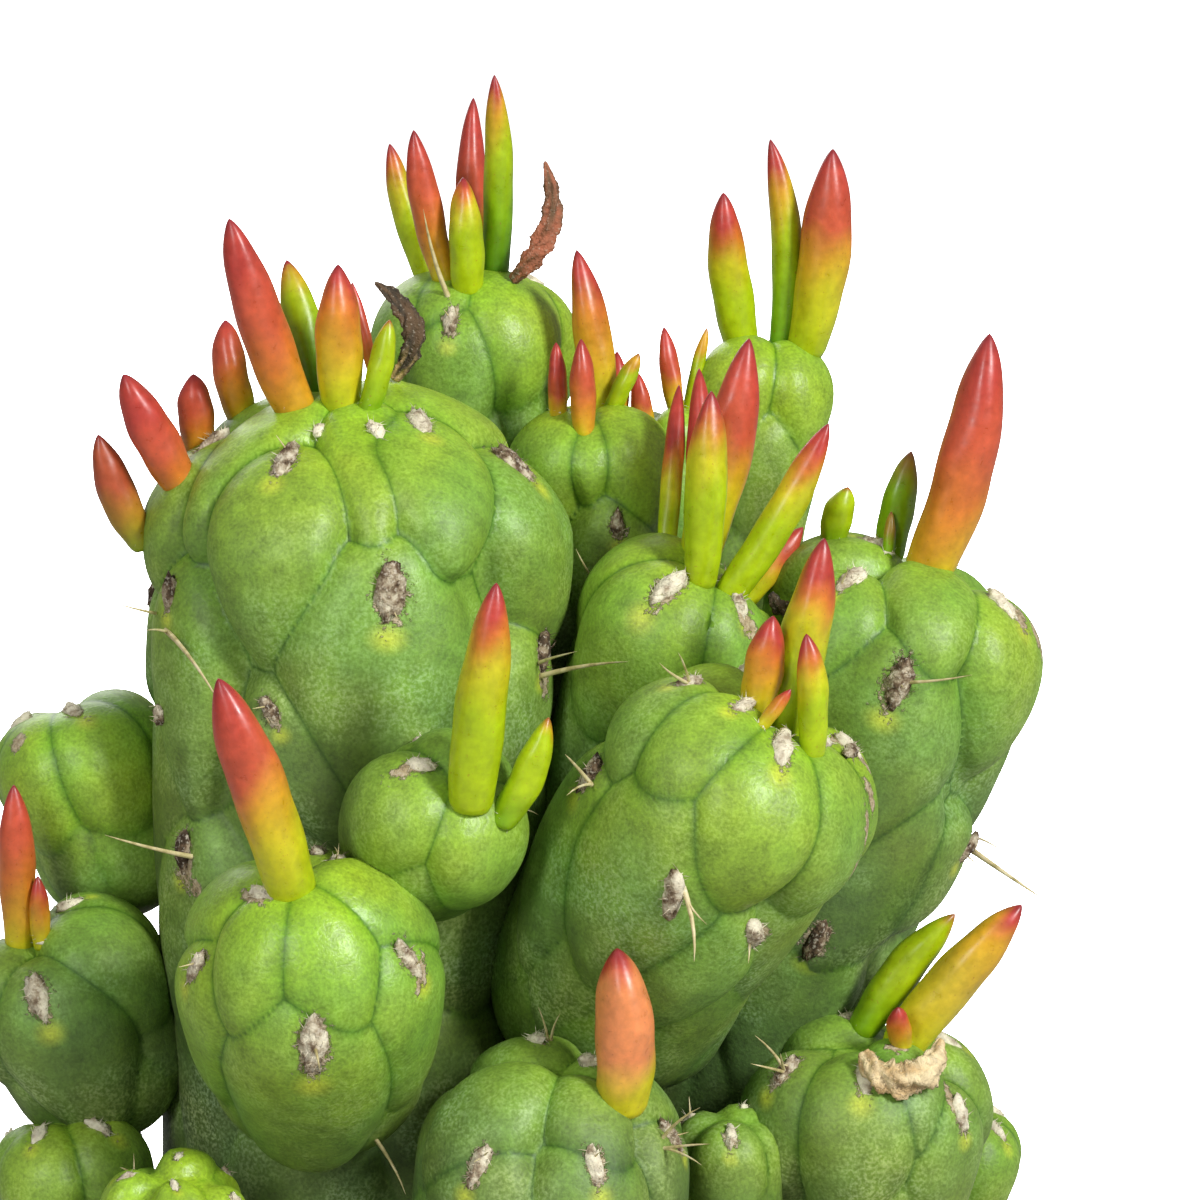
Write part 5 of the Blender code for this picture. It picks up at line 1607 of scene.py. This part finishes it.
# %% [markdown]
# ## Fired clay
#
# Unglazed clay is matt and uneven. Noise stretched level gives the bands of a thrown wall. Fine
# noise gives the grain. Salts from the water dry white on the lower wall, and the foot stays
# dark where it is damp, so both follow the height. A coat of glaze or a single brown would make
# it look like plastic.

# %% Clay finish
CLAY_BANDS = [(0.3, (0.46, 0.185, 0.092)), (0.5, (0.56, 0.245, 0.130)), (0.72, (0.64, 0.315, 0.185))]
CLAY_GRAIN, SALT, DAMP = (0.70, 0.42, 0.28), (0.78, 0.68, 0.58), (0.26, 0.11, 0.06)
SALT_TOP, SALT_FULL = 0.075, 0.02  # heights in metres
DAMP_TOP = 0.035

clay, tree, shader = new_finish("fired_clay")
where = coords(tree)
stretched = put(tree, "ShaderNodeMapping", {"Vector": where, "Scale": (1.0, 1.0, 5.0)}).outputs[0]
broad, band = noise(tree, 22, 4.0), noise(tree, 30, 3.0, where=stretched)
fine, grain = noise(tree, 900, 3.0), noise(tree, 2400, 2.0)
height = put(tree, "ShaderNodeSeparateXYZ", {"Vector": where}).outputs["Z"]
colour = blend(tree, spread(tree, fine, 0.35, 0.7, 0.0, 0.3), ramp(tree, band, CLAY_BANDS), CLAY_GRAIN)
salt = maths(tree, "MULTIPLY", spread(tree, broad, 0.52, 0.68), spread(tree, height, SALT_TOP, SALT_FULL))
colour = blend(tree, maths(tree, "MULTIPLY", salt, 0.55), colour, SALT)
damp = maths(tree, "MULTIPLY", spread(tree, broad, 0.62, 0.4),
             spread(tree, height, DAMP_TOP, 0.0, 0.0, 0.5))
colour = blend(tree, damp, colour, DAMP)
tree.links.new(colour, shader.inputs["Base Color"])
tree.links.new(spread(tree, fine, 0.3, 0.7, 0.82, 0.96), shader.inputs["Roughness"])
shader.inputs["Specular IOR Level"].default_value = 0.3
rough_up(tree, shader, [(band, 0.12), (fine, 0.08), (grain, 0.05)])
pot.data.materials.append(clay)
print("clay nodes:", len(tree.nodes))

# %% [markdown]
# ## Soil and grit
#
# Cactus soil is mostly grit. Modelling every grain would take millions of faces, so the filling
# is one lumpy closed body that takes the inside of the pot. Geometry Nodes then scatter stones
# and white pumice over its top, half sunk, each one an icosphere pushed out of shape.

# %% Soil body
SOIL_LEVEL, SOIL_CROWN, SOIL_CLEARANCE = 90.0, 3.0, 0.35
SOIL_SECTORS, SOIL_RINGS, SIDE_RINGS, BASE_RINGS = 150, 51, 11, 4
FLOOR_CURVE = 4  # the height over which the pot's floor turns into its wall
LEVEL_FROM, LEVEL_OVER = 0.93, 0.07  # the shares of the radius over which the soil turns smooth


def inner_radius(height):
    """The radius of the pot's inside."""
    return np.interp(height, (POT_FLOOR, POT_FLOOR + FLOOR_CURVE, BAND_FOOT, RIM_HEIGHT - 1.5),
                     (FOOT_RADIUS - 2 * WALL, FOOT_RADIUS - WALL, RIM_RADIUS - 1.5 * WALL,
                      RIM_RADIUS - WALL))


def soil_profile():
    """Radius and height from the soil's crown over its side to its base, and what is on top."""
    top_radius = inner_radius(SOIL_LEVEL) - SOIL_CLEARANCE
    top = top_radius * np.linspace(0, 1, SOIL_RINGS + 1)[1:]
    low = POT_FLOOR + SOIL_CLEARANCE
    side = np.linspace(SOIL_LEVEL, POT_FLOOR + FLOOR_CURVE + SOIL_CLEARANCE, SIDE_RINGS + 1)[1:]
    base = np.linspace(1, 0, BASE_RINGS + 2)[1:-1]
    radius = np.concatenate([
        top, inner_radius(side) - SOIL_CLEARANCE, (FOOT_RADIUS - 2 * WALL) * base])
    height = np.concatenate([
        SOIL_LEVEL + SOIL_CROWN * np.cos(top / top_radius * math.pi / 2), side, low + 0 * base])
    on_top = np.concatenate([
        1 - smooth_step((top / top_radius - LEVEL_FROM) / LEVEL_OVER), 0 * side, 0 * base])
    return radius, height, on_top


def soil_mesh():
    radius, height, on_top = soil_profile()
    turn, radius = np.meshgrid(np.arange(SOIL_SECTORS) / SOIL_SECTORS * 2 * math.pi, radius)
    x, y = radius * np.sin(turn), -radius * np.cos(turn)
    rough = (0.5 * np.sin(x / 3.1 + 1.7 * np.sin(y / 5)) * np.sin(y / 2.7 + 0.9)
             + 0.3 * np.sin(x / 1.3 + y / 1.9) * np.sin(y / 1.1 - x / 2.3) - 0.3)
    z = height[:, None] + rough * on_top[:, None]
    top, bottom = np.array([0, 0, SOIL_LEVEL + SOIL_CROWN]), np.array([0, 0, height[-1]])
    return grid_mesh("soil_body", np.stack([x, y, z], -1), top, bottom,
                     {"top": on_top[:, None] + 0 * x})


soil_surface = soil_mesh()
print("soil triangles:", triangles(soil_surface))

# %% Soil and stone finishes
SOIL_TONES = [(0.3, (0.035, 0.024, 0.016)), (0.55, (0.085, 0.058, 0.038)), (0.75, (0.16, 0.115, 0.075))]
SOIL_SAND = (0.34, 0.28, 0.21)
STONE_KINDS = [(0.0, (0.09, 0.06, 0.045)), (0.25, (0.22, 0.15, 0.10)), (0.5, (0.36, 0.29, 0.22)),
               (0.75, (0.20, 0.19, 0.18)), (0.86, (0.62, 0.60, 0.55)), (1.0, (0.78, 0.76, 0.70))]
STONE_DIRT = (0.12, 0.09, 0.07)

soil_finish, tree, shader = new_finish("potting_soil")
broad, fine = noise(tree, 260, 5.0), noise(tree, 1500, 3.0)
colour = blend(tree, spread(tree, fine, 0.62, 0.7, 0.0, 0.6), ramp(tree, broad, SOIL_TONES), SOIL_SAND)
tree.links.new(colour, shader.inputs["Base Color"])
shader.inputs["Roughness"].default_value = 0.95
rough_up(tree, shader, [(broad, 0.9), (fine, 0.3)])

stone_finish, tree, shader = new_finish("grit_stone")
fine = noise(tree, 1300, 3.0)
colour = blend(tree, spread(tree, fine, 0.4, 0.7, 0.0, 0.45), ramp(tree, mark(tree, "kind"), STONE_KINDS),
               STONE_DIRT)
tree.links.new(colour, shader.inputs["Base Color"])
shader.inputs["Roughness"].default_value = 0.88
rough_up(tree, shader, [(fine, 0.15)])
print("soil and stone finishes ready")

# %% Strew the stones
STONES = 9.0e4 / FINE  # on a square metre of soil
SMALLEST_STONE, LARGEST_STONE = 0.0004, 0.0015  # radii in metres
FEW_LARGE = 2.5  # the higher, the fewer large stones
STONE_LOW, STONE_HIGH = (0.6, 0.6, 0.5), (1.2, 1.1, 0.9)  # how flat or long a stone may be

tree, given, result = new_tree("grit_scatter", {
    "Density": ("Float", STONES), "Smallest": ("Float", SMALLEST_STONE),
    "Largest": ("Float", LARGEST_STONE), "Seed": ("Int", 3),
    "Stone": ("Material", None), "Soil": ("Material", None)})
on_top = put(tree, "FunctionNodeCompare", {0: stored(tree, "top"), 1: 0.6}, data_type="FLOAT",
             operation="GREATER_THAN")
spots = put(tree, "GeometryNodeDistributePointsOnFaces", {
    "Mesh": given["Geometry"], "Selection": on_top.outputs[0], "Density": given["Density"],
    "Seed": given["Seed"]})
known = put(tree, "GeometryNodeStoreNamedAttribute", {
    "Geometry": spots.outputs["Points"], "Name": "kind", "Value": random_number(tree, 0.0, 1.0, 8)},
    data_type="FLOAT", domain="POINT")
few_large = maths(tree, "POWER", random_number(tree, 0.0, 1.0, 9), FEW_LARGE)
girth = spread(tree, few_large, 0.0, 1.0, given["Smallest"], given["Largest"])
squash = random_vector(tree, STONE_LOW, STONE_HIGH, 6)
scale = put(tree, "ShaderNodeVectorMath", {0: squash, "Scale": girth}, operation="SCALE")
ball = put(tree, "GeometryNodeMeshIcoSphere", {"Radius": 1.0, "Subdivisions": 2})
strewn = put(tree, "GeometryNodeInstanceOnPoints", {
    "Points": known.outputs[0], "Instance": ball.outputs["Mesh"],
    "Rotation": random_vector(tree, (0, 0, 0), (6.28, 6.28, 6.28), 4), "Scale": scale.outputs[0]})
print("nodes that strew the stones:", len(tree.nodes))

# %% Dent the stones
DENTS_PER_METRE, DENT_DEPTH = 1100.0, 0.0011

place = put(tree, "GeometryNodeInputPosition", {})
dents = put(tree, "ShaderNodeTexNoise", {
    "Vector": place.outputs[0], "Scale": DENTS_PER_METRE, "Detail": 1.0})
centred = put(tree, "ShaderNodeVectorMath", {0: dents.outputs["Color"], 1: (0.5, 0.5, 0.5)},
              operation="SUBTRACT")
push = put(tree, "ShaderNodeVectorMath", {0: centred.outputs[0], "Scale": DENT_DEPTH}, operation="SCALE")
dented = put(tree, "GeometryNodeSetPosition", {
    "Geometry": realized(tree, strewn.outputs[0]), "Offset": push.outputs[0]})
both = put(tree, "GeometryNodeJoinGeometry", {})
tree.links.new(dressed(tree, dented.outputs[0], given["Stone"]), both.inputs[0])
tree.links.new(dressed(tree, given["Geometry"], given["Soil"]), both.inputs[0])
tree.links.new(both.outputs[0], result["Geometry"])
soil = grown("soil_and_grit", soil_surface, tree, {
    "Density": STONES, "Smallest": SMALLEST_STONE, "Largest": LARGEST_STONE, "Seed": 3,
    "Stone": stone_finish, "Soil": soil_finish})
add_piece("soil_and_grit", soil, "soil", "soil")
print("soil and grit triangles:", triangles(soil))

# %% [markdown]
# ## Floor and light
#
# The plant stands on a very large pale floor. The light is that of a small studio: a soft window
# to the right of the front that gives the shine on the leaves, a weaker tall one to the left,
# a wide soft lamp behind, and an even white surround. The floor shows white to the camera, but
# throws back only as much light on the plant as a pale table does.

# %% Floor
FLOOR_REACH = 20.0
FLOOR_THROWN, FLOOR_SEEN = (0.4, 0.4, 0.39), (4.4, 4.4, 4.4)

floor_mesh = bpy.data.meshes.new("floor")
floor_mesh.from_pydata([(x * FLOOR_REACH, y * FLOOR_REACH, 0) for x, y in
                        ((-1, -1), (1, -1), (1, 1), (-1, 1))], [], [(0, 1, 2, 3)])
floor = bpy.data.objects.new("floor", floor_mesh)
bpy.context.scene.collection.objects.link(floor)
floor_finish, tree, shader = new_finish("pale_floor")
seen = put(tree, "ShaderNodeLightPath", {}).outputs["Is Camera Ray"]
tree.links.new(blend(tree, seen, FLOOR_THROWN, FLOOR_SEEN), shader.inputs["Base Color"])
shader.inputs["Roughness"].default_value = 1.0
shader.inputs["Specular IOR Level"].default_value = 0.0
floor_mesh.materials.append(floor_finish)
print("floor side in metres:", 2 * FLOOR_REACH)

# %% Lights
SURROUND, SURROUND_SEEN = 0.26, 1.0
LAMPS = {  # direction from the plant, distance, width and height in metres, and power in watts
    "key_window": ((0.74, -0.77, 0.64), 1.5, (0.26, 0.45), 23),
    "front_window": ((-0.60, -1.0, 0.55), 1.5, (0.25, 0.7), 8),
    "back_soft": ((-0.35, 1.0, 0.55), 1.8, (1.2, 1.2), 14),
}

world = bpy.data.worlds.new("studio")
bpy.context.scene.world = world
world.use_nodes = True
tree = world.node_tree
seen = put(tree, "ShaderNodeLightPath", {}).outputs["Is Camera Ray"]
background = tree.nodes["Background"]
background.inputs["Color"].default_value = (1, 1, 1, 1)
tree.links.new(spread(tree, seen, 0, 1, SURROUND, SURROUND_SEEN), background.inputs["Strength"])

for name, (direction, distance, size, power) in LAMPS.items():
    lamp = bpy.data.objects.new(name, bpy.data.lights.new(name, "AREA"))
    bpy.context.scene.collection.objects.link(lamp)
    lamp.data.shape = "RECTANGLE"
    lamp.data.size, lamp.data.size_y = size
    lamp.data.energy = power
    lamp.location = CAMERA_AIM + Vector(direction).normalized() * distance
    lamp.rotation_euler = (CAMERA_AIM - lamp.location).to_track_quat("-Z", "Y").to_euler()
bpy.context.scene.view_settings.view_transform = "Standard"
print("lamps:", len(LAMPS))
